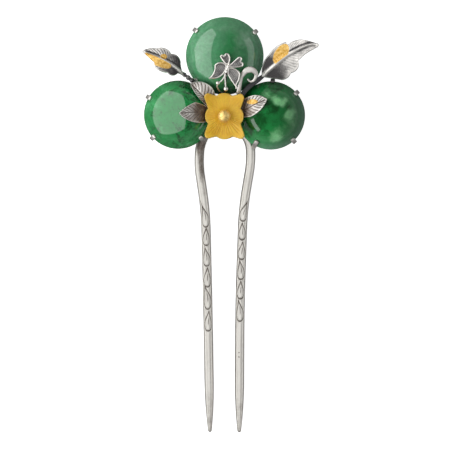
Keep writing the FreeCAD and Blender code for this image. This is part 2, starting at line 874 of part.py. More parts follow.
for made in doc.Objects:
    if {"Invalid", "Error"} & set(made.State):
        raise RuntimeError(f"{made.Name} failed: {made.State}")
for node in nodes:
    node.Label = node.Name
    shape = node.Shape
    if shape.isNull() or not shape.isValid():
        raise RuntimeError(f"{node.Label} has no valid shape")
    print(f"{node.Label}: {len(shape.Solids)} solid, {len(shape.Faces)} faces, {shape.Volume:.1f} mm3")
for node in nodes:
    node.Shape.exportStep(f"parts/{node.Label}.step")
print("total", round(sum(node.Shape.Volume for node in nodes), 1), "mm3")
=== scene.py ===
# %% [markdown]
# This lesson dresses a two-pronged hairpin: a bent silver rod that carries three round green stones,
# leaves, a small butterfly, a curled band and a carved yellow blossom.
# The packed model is loaded first and stays where it is. Every piece made below lies in that same frame,
# so a place measured on the model can be used as it stands.

# %% Load the packed model
import math

import bmesh
import bpy
import numpy as np
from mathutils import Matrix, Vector


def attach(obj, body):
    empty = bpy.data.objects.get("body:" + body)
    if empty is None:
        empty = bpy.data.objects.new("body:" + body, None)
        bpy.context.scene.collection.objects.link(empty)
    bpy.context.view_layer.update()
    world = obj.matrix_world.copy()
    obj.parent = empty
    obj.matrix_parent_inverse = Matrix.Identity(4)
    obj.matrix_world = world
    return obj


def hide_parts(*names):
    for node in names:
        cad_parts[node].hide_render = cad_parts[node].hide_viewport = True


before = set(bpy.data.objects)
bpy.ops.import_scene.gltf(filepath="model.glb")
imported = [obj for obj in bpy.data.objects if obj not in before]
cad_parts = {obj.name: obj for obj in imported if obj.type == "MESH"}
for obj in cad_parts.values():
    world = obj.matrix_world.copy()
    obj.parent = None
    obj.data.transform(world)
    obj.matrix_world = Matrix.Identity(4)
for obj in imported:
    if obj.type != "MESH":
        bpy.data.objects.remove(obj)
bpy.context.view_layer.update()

MM = 0.001
print("nodes:", ", ".join(sorted(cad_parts)))

# %% [markdown]
# Lines come first, because most of this hairpin is a section carried along a line. Curve objects could
# carry a section too, but points in an array can be measured, bent and marked in one step.
# The first helper draws a smooth line through a few points, which suits wires, stems and midribs.

# %% Smooth lines


def smooth_line(points, count):
    """Between two points this is the cubic that leaves each one along the chord of its neighbours."""
    p = np.asarray(points, float)
    padded = np.concatenate([2 * p[:1] - p[1:2], p, 2 * p[-1:] - p[-2:-1]])
    t = np.linspace(0, len(p) - 1, count)
    k = np.minimum(t.astype(int), len(p) - 2)
    f = (t - k)[:, None]
    a, b, c, d = padded[k], padded[k + 1], padded[k + 2], padded[k + 3]
    return b + 0.5 * f * (c - a + f * (2 * a - 5 * b + 4 * c - d + f * (3 * (b - c) + d - a)))


print("half way along a smooth bend:", smooth_line([(0, 0), (1, 1), (2, 0)], 5)[1].round(3).tolist())

# %% [markdown]
# Leaves, wing cells and the blossom have real corners between their lobes, which a smooth line would round
# off. Their outlines are drawn as straight stretches and arcs, as one would with a ruler and a compass.

# %% Outlines with corners


def arc(start, via, end, count=24):
    """The arc through three points: its centre is where the chords' middle perpendiculars cross."""
    start, via, end = (np.asarray(p, float) for p in (start, via, end))
    sides = np.array([via - start, end - start])
    centre = start + np.linalg.solve(2 * sides, (sides**2).sum(axis=1))
    first, middle, last = (math.atan2(*(p - centre)[::-1]) for p in (start, via, end))
    turn = (last - first) % (2 * math.pi)
    if (middle - first) % (2 * math.pi) > turn:
        turn -= 2 * math.pi
    angle = first + turn * np.linspace(0, 1, count)
    return centre + np.linalg.norm(start - centre) * np.column_stack([np.cos(angle), np.sin(angle)])


def drawn(rows):
    """Straight stretches and arcs. A row is a corner and, for an arc to the next corner, a point on it."""
    parts = []
    for row, following in zip(rows, rows[1:]):
        if len(row) == 4:
            parts.append(arc(row[:2], row[2:], following[:2]))
        else:
            parts.append(np.array([row[:2], following[:2]], float))
    line = np.concatenate(parts)
    keep = np.append(True, np.linalg.norm(np.diff(line, axis=0), axis=1) > 1e-9)
    return line[keep]

quarter = drawn([(1, 0, math.sqrt(0.5), math.sqrt(0.5)), (0, 1)])
print("a quarter turn ends at", quarter[-1].round(3).tolist())

# %% [markdown]
# The points of a line are seldom where a mesh needs them. These helpers measure along a line and space its
# points anew. The last two are the soft steps and soft humps that all the relief and the marks are made of.

# %% Measuring along a line, soft steps and soft humps


def lengths(line):
    """How far along the line each of its points lies."""
    return np.append(0.0, np.cumsum(np.linalg.norm(np.diff(line, axis=0), axis=1)))


def at(line, places):
    """The points of a line at the given distances along it."""
    along = lengths(line)
    return np.column_stack([np.interp(places, along, column) for column in line.T])


def evenly(line, count):
    """The same line with evenly spaced points."""
    return at(line, np.linspace(0, lengths(line)[-1], count))


def ease(value, low=0.0, high=1.0):
    """0 below low, 1 above high, and a smooth step between them."""
    t = np.clip((value - low) / (high - low), 0, 1)
    return t * t * (3 - 2 * t)


def hump(value, width):
    """A smooth hump of height 1 about 0: the bell curve of this width."""
    return np.exp(-((value / width) ** 2))

print("a soft step at a quarter of its way:", ease(0.25))

# %% [markdown]
# A piece is one or more sheets. A sheet is a grid of points, rows times columns, worked out at once.
# Where a sheet goes round, its last column repeats its first, and where it ends in a pole, a whole row lies
# in one point. Marks are numbers kept at the points, such as how deep a groove is, which the finishes read.

# %% Sheets of points


def sheet(points, **marks):
    """A grid of points in millimetres with its marks."""
    return {"points": np.asarray(points, float), "marks": marks}


def capped(points):
    """The grid with its first and last rows drawn together into their middles, which closes both ends."""
    ends = [np.broadcast_to(row.mean(axis=0), row.shape)[None] for row in (points[0][:-1], points[-1][:-1])]
    ends = [np.concatenate([end, end[:, :1]], axis=1) for end in ends]
    return np.concatenate([ends[0], points, ends[1]])


def quads(rows, columns, first):
    """The corner numbers of every face between four neighbouring points of a grid."""
    index = first + np.arange(rows * columns).reshape(rows, columns)
    faces = np.stack([index[:-1, :-1], index[:-1, 1:], index[1:, 1:], index[1:, :-1]], axis=-1)
    return faces.reshape(-1, 4)


def pattern_map(points):
    """Two distances in millimetres for every point, down and across, each the sum of the mean steps."""
    down = np.linalg.norm(np.diff(points, axis=0), axis=2).mean(axis=1)
    across = np.linalg.norm(np.diff(points, axis=1), axis=2).mean(axis=0)
    u, v = np.meshgrid(np.append(0, np.cumsum(down)), np.append(0, np.cumsum(across)), indexing="ij")
    return np.stack([u, v], axis=-1)

print("faces of a sheet of 3 by 3 points:", len(quads(3, 3, 0)))

# %% [markdown]
# The sheets of a piece become one mesh. Merging the points that coincide closes its seams and poles. The
# pattern map and the marks are laid down before that, so they stay clean at the seam. The faces are turned
# outwards last, because a grid can run either way round.

# %% From sheets to a mesh


def filled_mesh(name, sheets):
    """All the sheets' points and faces in one mesh, with the pattern map and the marks."""
    points = [s["points"] for s in sheets]
    starts = np.append(0, np.cumsum([p.shape[0] * p.shape[1] for p in points])).astype(int)
    faces = np.concatenate([quads(*p.shape[:2], first) for p, first in zip(points, starts)])
    places = np.concatenate([p.reshape(-1, 3) for p in points]) * MM
    mesh = bpy.data.meshes.new(name)
    mesh.from_pydata(places.tolist(), [], faces.tolist())
    pattern = np.concatenate([pattern_map(p).reshape(-1, 2) for p in points])
    corner = np.empty(len(mesh.loops), np.int32)
    mesh.loops.foreach_get("vertex_index", corner)
    along = mesh.uv_layers.new(name="along")
    along.uv.foreach_set("vector", pattern[corner].astype(np.float32).ravel())
    for key in sorted({key for s in sheets for key in s["marks"]}):
        values = [np.broadcast_to(s["marks"].get(key, 0.0), s["points"].shape[:2]).ravel() for s in sheets]
        layer = mesh.attributes.new(key, "FLOAT", "POINT")
        layer.data.foreach_set("value", np.concatenate(values).astype(np.float32))
    return mesh


def close_seams(mesh, sharp):
    """Merges points that coincide, turns the faces outwards and smooths all edges flatter than this angle."""
    work = bmesh.new()
    work.from_mesh(mesh)
    bmesh.ops.remove_doubles(work, verts=work.verts, dist=0.0005 * MM)
    bmesh.ops.dissolve_degenerate(work, edges=work.edges, dist=0.0002 * MM)
    bmesh.ops.recalc_face_normals(work, faces=work.faces)
    work.to_mesh(mesh)
    work.free()
    mesh.polygons.foreach_set("use_smooth", np.ones(len(mesh.polygons), bool))
    mesh.set_sharp_from_angle(angle=math.radians(sharp))


PIECES = []


def make_piece(name, sheets, finish, node, sharp=40):
    """One closed mesh with its finish, which takes the place of a node of the packed model."""
    mesh = filled_mesh(name, sheets)
    close_seams(mesh, sharp)
    mesh.materials.append(finish)
    piece = bpy.data.objects.new(name, mesh)
    bpy.context.scene.collection.objects.link(piece)
    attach(piece, "root")
    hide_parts(node)
    PIECES.append(name)
    print(f"{name}: {len(mesh.vertices)} points, {len(mesh.polygons)} faces")
    return piece


print("pieces made so far:", len(PIECES))

# %% [markdown]
# Wires, stems, claws and struts are all bars: a rounded section, wide and thick as the line needs, carried
# along it. A maker draws such wire through a plate and files its ends round, so the ends are rounded too.

# %% Bars along a line


def section(count, power):
    """A ring of radius 1 between a circle (power 1) and a rounded square (power near 0.4)."""
    angle = np.linspace(0, 2 * math.pi, count + 1)
    c, s = np.cos(angle), np.sin(angle)
    ring = np.column_stack([np.sign(c) * abs(c) ** power, np.sign(s) * abs(s) ** power])
    ring[-1] = ring[0]
    return ring


def carried(line, wide, thick, power=1.0, around=24, up=(0, 0, 1)):
    """A section carried along a line: each point is the line's point plus the section's two halves, along the
    sideways direction (up crossed with the line's direction) and the direction square to both."""
    forward = np.gradient(line, axis=0)
    forward /= np.linalg.norm(forward, axis=1, keepdims=True)
    side = np.cross(np.asarray(up, float), forward)
    side /= np.linalg.norm(side, axis=1, keepdims=True)
    rise = np.cross(forward, side)
    ring = section(around, power)
    half = np.stack([np.broadcast_to(wide, len(line)), np.broadcast_to(thick, len(line))]) / 2
    return (
        line[:, None]
        + side[:, None] * (half[0][:, None] * ring[:, 0])[..., None]
        + rise[:, None] * (half[1][:, None] * ring[:, 1])[..., None]
    )


def read_along(values, share):
    """Values given at even steps from one end to the other, read at a share of the way."""
    values = np.atleast_1d(values)
    return np.interp(share, np.linspace(0, 1, len(values)), values)


def bar(points, wide, thick, power=1.0, count=40, around=24, round_end=0.25, up=(0, 0, 1), **marks):
    """A closed bar through the points, whose ends are rounded over this length by a quarter circle."""
    line = evenly(smooth_line(points, 8 * count), count)
    along = lengths(line)
    share = along / along[-1]
    to_end = np.clip(np.minimum(along, along[-1] - along) / round_end, 0, 1)
    rounding = np.maximum(np.sqrt(1 - (1 - to_end) ** 2), 0.15)
    wide = read_along(wide, share) * rounding
    thick = read_along(thick, share) * rounding
    return sheet(capped(carried(line, wide, thick, power, around, up)), **marks)


print("a short bar has", bar([(0, 0, 0), (5, 0, 0)], 1.0, 1.0)["points"].shape[:2], "points")

# %% [markdown]
# Beads, cups, stones and the plate under the small leaves are turned: a profile goes round an upright axis.
# A ready-made ball or cylinder would have to be cut and joined, while a profile draws the whole piece.

# %% Turned shapes and beads


def turned(profile, centre=(0, 0), around=64, **marks):
    """Rows of radius and height turned about an upright axis: across is radius times cosine and sine."""
    profile = np.asarray(profile, float)
    angle = np.linspace(0, 2 * math.pi, around + 1)
    ring = np.column_stack([np.cos(angle), np.sin(angle)])
    ring[-1] = ring[0]
    flat = profile[:, 0, None, None] * ring + np.asarray(centre, float)
    height = np.broadcast_to(profile[:, 1, None, None], flat.shape[:2] + (1,))
    return sheet(np.concatenate([flat, height], axis=2), **marks)


def bead(centre, radius, squash=1.0, around=32, **marks):
    """A ball: radius times the sine of the angle from its foot, at the height of minus its cosine."""
    angle = np.linspace(0, math.pi, around // 2 + 1)
    profile = np.column_stack([radius * np.sin(angle), centre[2] - radius * squash * np.cos(angle)])
    profile[[0, -1], 0] = 0
    return turned(profile, centre[:2], around, **marks)

print("a bead has", bead((0, 0, 0), 1.0)["points"].shape[:2], "points")

# %% [markdown]
# The finishes are shader trees. This small class adds a node with its values and joins it in one line, and
# gives a short name to each step that the finishes use often: sums, blends, soft steps, noise and marks.

# %% Help with shader nodes


class Nodes:
    """Adds nodes to a shader tree and joins them."""

    def __init__(self, tree):
        self.tree = tree

    def add(self, kind, values=None, **settings):
        node = self.tree.nodes.new(kind)
        for key, value in settings.items():
            setattr(node, key, value)
        for key, value in (values or {}).items():
            socket = node.inputs[key]
            if isinstance(value, bpy.types.NodeSocket):
                self.tree.links.new(value, socket)
            else:
                socket.default_value = value
        return node

    def math(self, operation, *values, clamp=False):
        node = self.add("ShaderNodeMath", dict(enumerate(values)), operation=operation, use_clamp=clamp)
        return node.outputs[0]

    def blend(self, share, first, second, kind="MIX"):
        node = self.add("ShaderNodeMix", data_type="RGBA", blend_type=kind)
        for index, value in ((0, share), (6, first), (7, second)):
            if isinstance(value, bpy.types.NodeSocket):
                self.tree.links.new(value, node.inputs[index])
            else:
                node.inputs[index].default_value = value
        return node.outputs[2]

    def spread(self, value, low, high, to_low=0.0, to_high=1.0):
        values = {0: value, 1: low, 2: high, 3: to_low, 4: to_high}
        return self.add("ShaderNodeMapRange", values, interpolation_type="SMOOTHSTEP").outputs[0]

    def join(self, value, socket):
        self.tree.links.new(value, socket)

    def noise(self, place, scale, detail, roughness=0.5):
        values = {"Vector": place, "Scale": scale, "Detail": detail, "Roughness": roughness}
        return self.add("ShaderNodeTexNoise", values).outputs["Fac"]

    def mark(self, name):
        return self.add("ShaderNodeAttribute", attribute_name=name).outputs["Fac"]


print("short names:", ", ".join(name for name in vars(Nodes) if not name.startswith("_")))

# %% [markdown]
# A shader group is a tree that several finishes share. It is built once, with named sockets, and is placed
# in each finish with that finish's own values. Colours are given as the six digits that painters on a
# screen use, and are turned into the linear values that light needs.

# %% Shader groups and colours


def group(name, inputs, outputs):
    """An empty shader group with its named sockets."""
    tree = bpy.data.node_groups.new(name, "ShaderNodeTree")
    for socket, kind in inputs.items():
        tree.interface.new_socket(name=socket, in_out="INPUT", socket_type="NodeSocket" + kind)
    for socket, kind in outputs.items():
        tree.interface.new_socket(name=socket, in_out="OUTPUT", socket_type="NodeSocket" + kind)
    nodes = Nodes(tree)
    return nodes, nodes.add("NodeGroupInput").outputs, nodes.add("NodeGroupOutput").inputs


def colour(text):
    """A colour given as six hexadecimal digits, in the linear values that shaders use."""
    parts = [int(text[i : i + 2], 16) / 255 for i in (0, 2, 4)]
    return [p / 12.92 if p <= 0.04045 else ((p + 0.055) / 1.055) ** 2.4 for p in parts] + [1.0]

print("half grey in linear light:", round(colour("808080")[0], 3))

# %% [markdown]
# Silver that was rubbed by hand shows fine lines along the piece and broader streaks among them. Both are
# noise on the pattern map, drawn out along the piece. The group gives a height for the fine lines and a
# mask for the streaks.

# %% Shared effect: fine scratches

OBJECT_MM = 1000.0

nodes, given, result = group(
    "FineScratches",
    {"Along": "Vector", "Scale": "Float", "Stretch": "Float"},
    {"Height": "Float", "Streak": "Float"},
)
split = nodes.add("ShaderNodeSeparateXYZ", {0: given["Along"]}).outputs
drawn_out = nodes.math("DIVIDE", split[0], given["Stretch"])
lengthways = nodes.add("ShaderNodeCombineXYZ", {0: drawn_out, 1: split[1], 2: split[2]}).outputs[0]
fine = nodes.noise(lengthways, given["Scale"], 5.0, 0.65)
broad = nodes.noise(lengthways, nodes.math("MULTIPLY", given["Scale"], 0.18), 3.0)
nodes.join(fine, result["Height"])
nodes.join(nodes.spread(broad, 0.35, 0.68), result["Streak"])
FINE_SCRATCHES = nodes.tree
print("shared effect:", FINE_SCRATCHES.name)

# %% [markdown]
# A silversmith blackens the whole piece and then rubs the raised parts bright, so soot stays in the
# hollows. The group takes a depth from the marks and makes its edge uneven with two sizes of noise. The
# same mask also lays painted shade and a painted dark reflection where the marks put them.

# %% Shared effect: soot in the hollows, and painted shade

nodes, given, result = group(
    "SootAndShade",
    {"Place": "Vector", "Depth": "Float", "Scale": "Float", "Amount": "Float"},
    {"Mask": "Float", "Grain": "Float"},
)
speckle = nodes.noise(given["Place"], given["Scale"], 6.0, 0.7)
patchy = nodes.noise(given["Place"], 0.35, 3.0)
uneven = nodes.math("MULTIPLY", nodes.math("SUBTRACT", patchy, 0.5), 0.9)
grainy = nodes.math("MULTIPLY", nodes.math("SUBTRACT", speckle, 0.5), 0.8)
gathered = nodes.math("ADD", nodes.math("ADD", given["Depth"], uneven), grainy)
nodes.join(nodes.math("MULTIPLY", nodes.spread(gathered, 0.0, 1.0), given["Amount"]), result["Mask"])
nodes.join(speckle, result["Grain"])
SOOT_AND_SHADE = nodes.tree
print("shared effect:", SOOT_AND_SHADE.name)

# %% [markdown]
# Jade is never one green. Deeper and paler clouds drift through it, bent as if stirred, with small flecks.
# The group bends the place with a broad noise first, and then makes one mask for the deep clouds and one
# for the pale ones, both shifted by the marks of the stone.

# %% Shared effect: clouds in a stone

nodes, given, result = group(
    "StoneClouds",
    {
        "Place": "Vector",
        "Scale": "Float",
        "Swirl": "Float",
        "Mottle": "Float",
        "Deep": "Float",
        "Pale": "Float",
    },
    {"DeepMask": "Float", "PaleMask": "Float", "Fleck": "Float"},
)
bend = nodes.add("ShaderNodeTexNoise", {"Vector": given["Place"], "Scale": 0.16, "Detail": 2.0})
bend = bend.outputs["Color"]
push = nodes.add("ShaderNodeVectorMath", {0: bend, 1: (0.5, 0.5, 0.5)}, operation="SUBTRACT").outputs[0]
pushed = nodes.add("ShaderNodeVectorMath", {0: push, "Scale": given["Swirl"]}, operation="SCALE").outputs[0]
moved = nodes.add("ShaderNodeVectorMath", {0: given["Place"], 1: pushed}, operation="ADD").outputs[0]
apart = nodes.add("ShaderNodeVectorMath", {0: moved, 1: (37.0, 11.0, 5.0)}, operation="ADD").outputs[0]
deep_cloud = nodes.math("SUBTRACT", nodes.noise(moved, given["Scale"], 6.0, 0.62), 0.5)
pale_cloud = nodes.math("SUBTRACT", nodes.noise(apart, given["Scale"], 5.0, 0.6), 0.5)
fleck = nodes.noise(moved, 0.75, 7.0, 0.72)
mottled = nodes.math("MULTIPLY", nodes.math("SUBTRACT", fleck, 0.5), given["Mottle"])
deep_sum = nodes.math("ADD", nodes.math("MULTIPLY", deep_cloud, 2.6), given["Deep"])
pale_sum = nodes.math("ADD", nodes.math("MULTIPLY", pale_cloud, 2.2), given["Pale"])
nodes.join(nodes.spread(nodes.math("ADD", deep_sum, mottled), 0.1, 0.9), result["DeepMask"])
nodes.join(nodes.spread(pale_sum, 0.0, 1.2), result["PaleMask"])
nodes.join(fleck, result["Fleck"])
STONE_CLOUDS = nodes.tree
print("shared effects:", ", ".join(tree.name for tree in bpy.data.node_groups))

# %% [markdown]
# Every finish starts alike: a material with its main shader, the place of a point in millimetres, which
# stays fixed to the piece, and the distances of the pattern map, which follow the piece round its bends.

# %% How a finish starts


def new_finish(name):
    """A material with its shader, its place in millimetres and its distances along the piece."""
    material = bpy.data.materials.new(name)
    material.use_nodes = True
    nodes = Nodes(material.node_tree)
    shader = material.node_tree.nodes["Principled BSDF"]
    place = nodes.add("ShaderNodeTexCoord").outputs["Object"]
    place = nodes.add("ShaderNodeMapping", {"Vector": place, "Scale": (OBJECT_MM,) * 3}).outputs[0]
    along = nodes.add("ShaderNodeUVMap", uv_map="along").outputs[0]
    return material, nodes, shader, place, along


def use_group(nodes, tree, **values):
    """A shared effect placed in a finish with this finish's own values."""
    node = nodes.add("ShaderNodeGroup", node_tree=tree)
    for key, value in values.items():
        if isinstance(value, bpy.types.NodeSocket):
            nodes.tree.links.new(value, node.inputs[key])
        else:
            node.inputs[key].default_value = value
    return node.outputs

print("patterns are measured in millimetres:", OBJECT_MM, "to a metre")

# %% [markdown]
# Silver is the same metal everywhere on this hairpin. What changes is how much of it was blackened and
# rubbed bright again. The finish reads two marks: groove, which is 1 at the bottom of chased lines, and
# soot, which is 1 where the metal was left dark and where painted shade or a painted dark
# reflection lies. A gilded mark turns the silver into gold leaf.

# %% Silver and gold leaf


def gold_leaf(nodes, place, grain, tones):
    """Where the leaf lies, with a ragged edge, its crumpled colour, and how crumpled it is."""
    ragged = nodes.math("ADD", nodes.mark("gilded"), nodes.math("MULTIPLY", grain, 0.5))
    crumple = nodes.noise(place, 1.5, 5.0, 0.7)
    tint = nodes.blend(nodes.spread(crumple, 0.28, 0.72), colour(tones[0]), colour(tones[1]))
    return nodes.spread(ragged, 0.62, 0.8), tint, crumple


def metal(name, bright, dark, smooth, amount, scratch=7.0, stretch=14.0, relief=0.02, gold=None):
    """Satin metal: a bright colour, darker in streaks, with soot and painted shade by the marks, and gold
    leaf where marked.
    """
    material, nodes, shader, place, along = new_finish(name)
    lines = use_group(nodes, FINE_SCRATCHES, Along=along, Scale=scratch, Stretch=stretch)
    depth = nodes.math("MAXIMUM", nodes.mark("groove"), nodes.mark("soot"))
    black = use_group(nodes, SOOT_AND_SHADE, Place=place, Depth=depth, Scale=4.5, Amount=amount)
    streaked = nodes.blend(nodes.math("MULTIPLY", lines["Streak"], 0.35), colour(bright), colour(dark))
    # The dark tone of soot, which also serves for the painted shade and the painted dark reflection.
    soot_and_shade_tone = nodes.blend(nodes.mark("warm"), colour("2b2c31"), colour("5c4b3f"))
    tint = nodes.blend(black["Mask"], streaked, soot_and_shade_tone)
    rough = nodes.math("ADD", nodes.math("MULTIPLY", lines["Height"], 0.16), smooth)
    rough = nodes.math("ADD", rough, nodes.math("MULTIPLY", black["Mask"], 0.25), clamp=True)
    height = nodes.math("ADD", lines["Height"], nodes.math("MULTIPLY", black["Grain"], 0.8))
    if gold:
        cover, leaf_tint, crumple = gold_leaf(nodes, place, black["Grain"], gold)
        tint = nodes.blend(cover, tint, leaf_tint)
        rough = nodes.math("ADD", rough, nodes.math("MULTIPLY", cover, 0.06))
        creases = nodes.math("MULTIPLY", nodes.math("MULTIPLY", cover, crumple), 6.0)
        height = nodes.math("ADD", height, creases)
    bump = nodes.add("ShaderNodeBump", {"Height": height, "Strength": 0.6, "Distance": relief * MM})
    nodes.join(tint, shader.inputs["Base Color"])
    nodes.join(rough, shader.inputs["Roughness"])
    nodes.join(bump.outputs[0], shader.inputs["Normal"])
    shader.inputs["Metallic"].default_value = 1.0
    return material


GOLD_LEAF = ("bd8a2c", "efcf86")
ROD_SILVER = metal("rod_silver", "e9e6df", "cac5be", 0.28, 0.95)
SETTING_SILVER = metal("setting_silver", "e2dfda", "b5b0aa", 0.24, 0.8, scratch=5.0, stretch=3.0)
LEAF_SILVER = metal("leaf_silver", "e8e5e0", "b8b3ae", 0.27, 0.95, scratch=9.0, stretch=6.0, gold=GOLD_LEAF)
WIRE_SILVER = metal("wire_silver", "e4e1dc", "bdb8b2", 0.2, 0.95, scratch=8.0, stretch=4.0)
BAND_SILVER = metal("band_silver", "dedad5", "bfb9b4", 0.3, 0.8, scratch=8.0, stretch=8.0)
BUD_GOLD = metal("bud_gold", "f6d98e", "e6ba5e", 0.42, 0.35, scratch=5.0, stretch=3.0)
print("metal finishes:", ", ".join(m.name for m in bpy.data.materials))

# %% [markdown]
# Each stone has a middle green and its own deep and pale tones, under a hard polish. The zones are placed
# with marks, and the cloud effect breaks their edges. A painted reflection of the pale sheet greys the low
# edge. A little light passes under the surface, so the shader gets a small share of subsurface scattering.

# %% Polished jade


def jade(name, middle, deep, pale, scale, swirl, mottle):
    """Polished jade with deep and pale zones that follow the marks of the same names."""
    material, nodes, shader, place, _ = new_finish(name)
    marks = {"Deep": nodes.mark("deep"), "Pale": nodes.mark("pale")}
    zones = use_group(nodes, STONE_CLOUDS, Place=place, Scale=scale, Swirl=swirl, Mottle=mottle, **marks)
    tint = nodes.blend(zones["DeepMask"], colour(middle), colour(deep))
    tint = nodes.blend(zones["PaleMask"], tint, colour(pale))
    # Painted reflection: the pale sheet mirrored in the low edge, painted as a grey green.
    tint = nodes.blend(nodes.math("MULTIPLY", nodes.mark("veil"), 0.72), tint, colour("6f9781"))
    shade = nodes.spread(zones["Fleck"], 0.3, 0.7, 0.72, 1.28)
    shade = nodes.add("ShaderNodeCombineColor", {0: shade, 1: shade, 2: shade}).outputs[0]
    nodes.join(nodes.blend(0.55, tint, shade, "MULTIPLY"), shader.inputs["Base Color"])
    rough = nodes.math("ADD", nodes.math("MULTIPLY", zones["Fleck"], 0.05), 0.035)
    nodes.join(rough, shader.inputs["Roughness"])
    shader.inputs["IOR"].default_value = 1.66
    shader.inputs["Subsurface Weight"].default_value = 0.12
    shader.inputs["Subsurface Radius"].default_value = (0.5, 1.6, 0.7)
    shader.inputs["Subsurface Scale"].default_value = 1.0 * MM
    return material


JADE_PALE = jade("pale_jade", "54a06e", "3b9a5b", "8cc09b", 0.16, 5.0, 0.9)
JADE_BRIGHT = jade("bright_jade", "136b33", "033a15", "44955f", 0.3, 6.0, 3.2)
JADE_DARK = jade("dark_jade", "1d8a42", "03501c", "93e39f", 0.22, 7.0, 1.7)

print("jade finishes:", JADE_PALE.name, JADE_BRIGHT.name, JADE_DARK.name)

# %% [markdown]
# The blossom looks like opaque amber: a waxy yellow, painted a deeper orange as shade in its cuts and round
# the bud, and paler along its rim.
# It is soft, so it takes a silky polish instead of a glassy one.

# %% Waxy amber


def yellow_amber():
    """Two yellows in soft clouds, a deeper one in the grooves as painted shade, and a paler one on the rim.
    """
    material, nodes, shader, place, _ = new_finish("waxy_amber")
    cloud = nodes.noise(place, 0.3, 5.0, 0.6)
    tint = nodes.blend(nodes.spread(cloud, 0.35, 0.65), colour("d8a71e"), colour("e5ba2e"))
    # Painted shade: the grooves, that is the cut lines and the ring round the bud, turn a deeper orange.
    tint = nodes.blend(nodes.math("MULTIPLY", nodes.mark("groove"), 0.8), tint, colour("b07c10"))
    tint = nodes.blend(nodes.math("MULTIPLY", nodes.mark("rim"), 0.5), tint, colour("ccac4d"))
    grain = nodes.noise(place, 3.0, 4.0)
    bump = nodes.add("ShaderNodeBump", {"Height": grain, "Strength": 0.3, "Distance": 0.02 * MM})
    rough = nodes.math("ADD", nodes.math("MULTIPLY", grain, 0.15), 0.33)
    nodes.join(tint, shader.inputs["Base Color"])
    nodes.join(rough, shader.inputs["Roughness"])
    nodes.join(bump.outputs[0], shader.inputs["Normal"])
    shader.inputs["Subsurface Weight"].default_value = 0.2
    shader.inputs["Subsurface Radius"].default_value = (1.5, 0.8, 0.2)
    shader.inputs["Subsurface Scale"].default_value = 1.0 * MM
    return material


AMBER = yellow_amber()
print("blossom finish:", AMBER.name)

# %% [markdown]
# The rod is one length of silver, bent to an arch behind the head and two tines, thinner towards both
# points. Its middle line is given by corners, each rounded by an arc that touches both stretches, which is
# how a rod bends over a former.

# %% The rod's middle line

ROD_RADIUS = 1.5
ROD_HEIGHT = 1.55
TIP_RADIUS = 0.62
TAPER_LENGTH = 16.2
ARC_SHARE = 0.45
LEFT_CORNERS = [(-5.2, -3.84), (-7.9, -9.2), (-8.2, -16.0), (-6.05, -30.5), (-5.35, -60.0), (-4.65, -101.2)]
RIGHT_CORNERS = [(5.4, -3.84), (8.35, -8.6), (8.45, -15.0), (6.0, -29.5), (4.95, -60.0), (4.75, -101.3)]


def rounded_line(corners):
    """Straight stretches joined by arcs, which start at a share of the shorter stretch from the corner."""
    corners = np.asarray(corners, float)
    parts = [corners[:1]]
    for before, corner, after in zip(corners, corners[1:], corners[2:]):
        back, forth = before - corner, after - corner
        setback = ARC_SHARE * min(np.linalg.norm(back), np.linalg.norm(forth))
        back, forth = back / np.linalg.norm(back), forth / np.linalg.norm(forth)
        half = math.acos(back @ forth) / 2
        bisector = (back + forth) / np.linalg.norm(back + forth)
        middle = corner + bisector * setback * (1 / math.cos(half) - math.tan(half))
        parts.append(arc(corner + back * setback, middle, corner + forth * setback, 60))
    return np.concatenate(parts + [corners[-1:]])


def taper_start(corners):
    """Where a tine starts to narrow."""
    knee, point = np.asarray(corners[-2:], float)
    return point + (knee - point) / np.linalg.norm(knee - point) * (TAPER_LENGTH + TIP_RADIUS)

print("the left tine starts to narrow at", taper_start(LEFT_CORNERS).round(1).tolist())

# %% [markdown]
# Six drops are chased into the front of each tine. In the table each has the place of its fine tip along
# the hairpin, its length, and how far the tip leans to the right. Two small pits in the right tine are kept.

# %% Where the chased drops lie

DROPS = {
    "left": [
        (-28.6, 6.9, -0.8),
        (-35.8, 5.6, 0.1),
        (-42.1, 5.9, -0.5),
        (-48.4, 6.3, 0.25),
        (-54.2, 7.6, -1.0),
        (-62.4, 6.4, 0.45),
    ],
    "right": [
        (-27.3, 6.3, 1.0),
        (-34.1, 5.5, -0.15),
        (-40.2, 5.7, 0.35),
        (-46.2, 6.1, -0.6),
        (-52.8, 5.7, 0.1),
        (-58.9, 6.8, -0.65),
    ],
}
PITS = (-75.7, -77.1)
BELLY = 0.68
HALF_WIDTH = 1.28
print("drops:", {side: len(rows) for side, rows in DROPS.items()})

# %% [markdown]
# A drop is a pillow with a groove all round and a short crease inside. To carve an even groove one needs
# the distance to the outline, not just the distance across, so this is worked out first.

# %% One chased drop


def drop_distance(along, aside, length):
    """The distance to a drop's outline, negative inside, for a place along it (0 at its tip, 1 at its round
    end). Up to its belly the half width grows by a smooth step, and the distance is the one across divided
    by the root of one plus the slope squared. From the belly on the outline is half an ellipse g = 1, where
    the distance is (g - 1) over the steepness of g."""
    table = np.linspace(0, BELLY, 400)
    outline = HALF_WIDTH * ease(table, -0.04, BELLY) ** 0.85
    slope = np.gradient(outline, table * length)
    place = np.clip(along, 0, BELLY)
    to_side = (aside - np.interp(place, table, outline)) / np.sqrt(1 + np.interp(place, table, slope) ** 2)
    end = (1 - BELLY) * length
    past = np.clip(along - BELLY, 0, 9) * length
    g = np.sqrt((past / end) ** 2 + (aside / HALF_WIDTH) ** 2)
    steepness = np.sqrt(past**2 / end**4 + aside**2 / HALF_WIDTH**4 + 1e-9)
    return np.where(past > 0, (g - 1) * g / steepness, to_side)


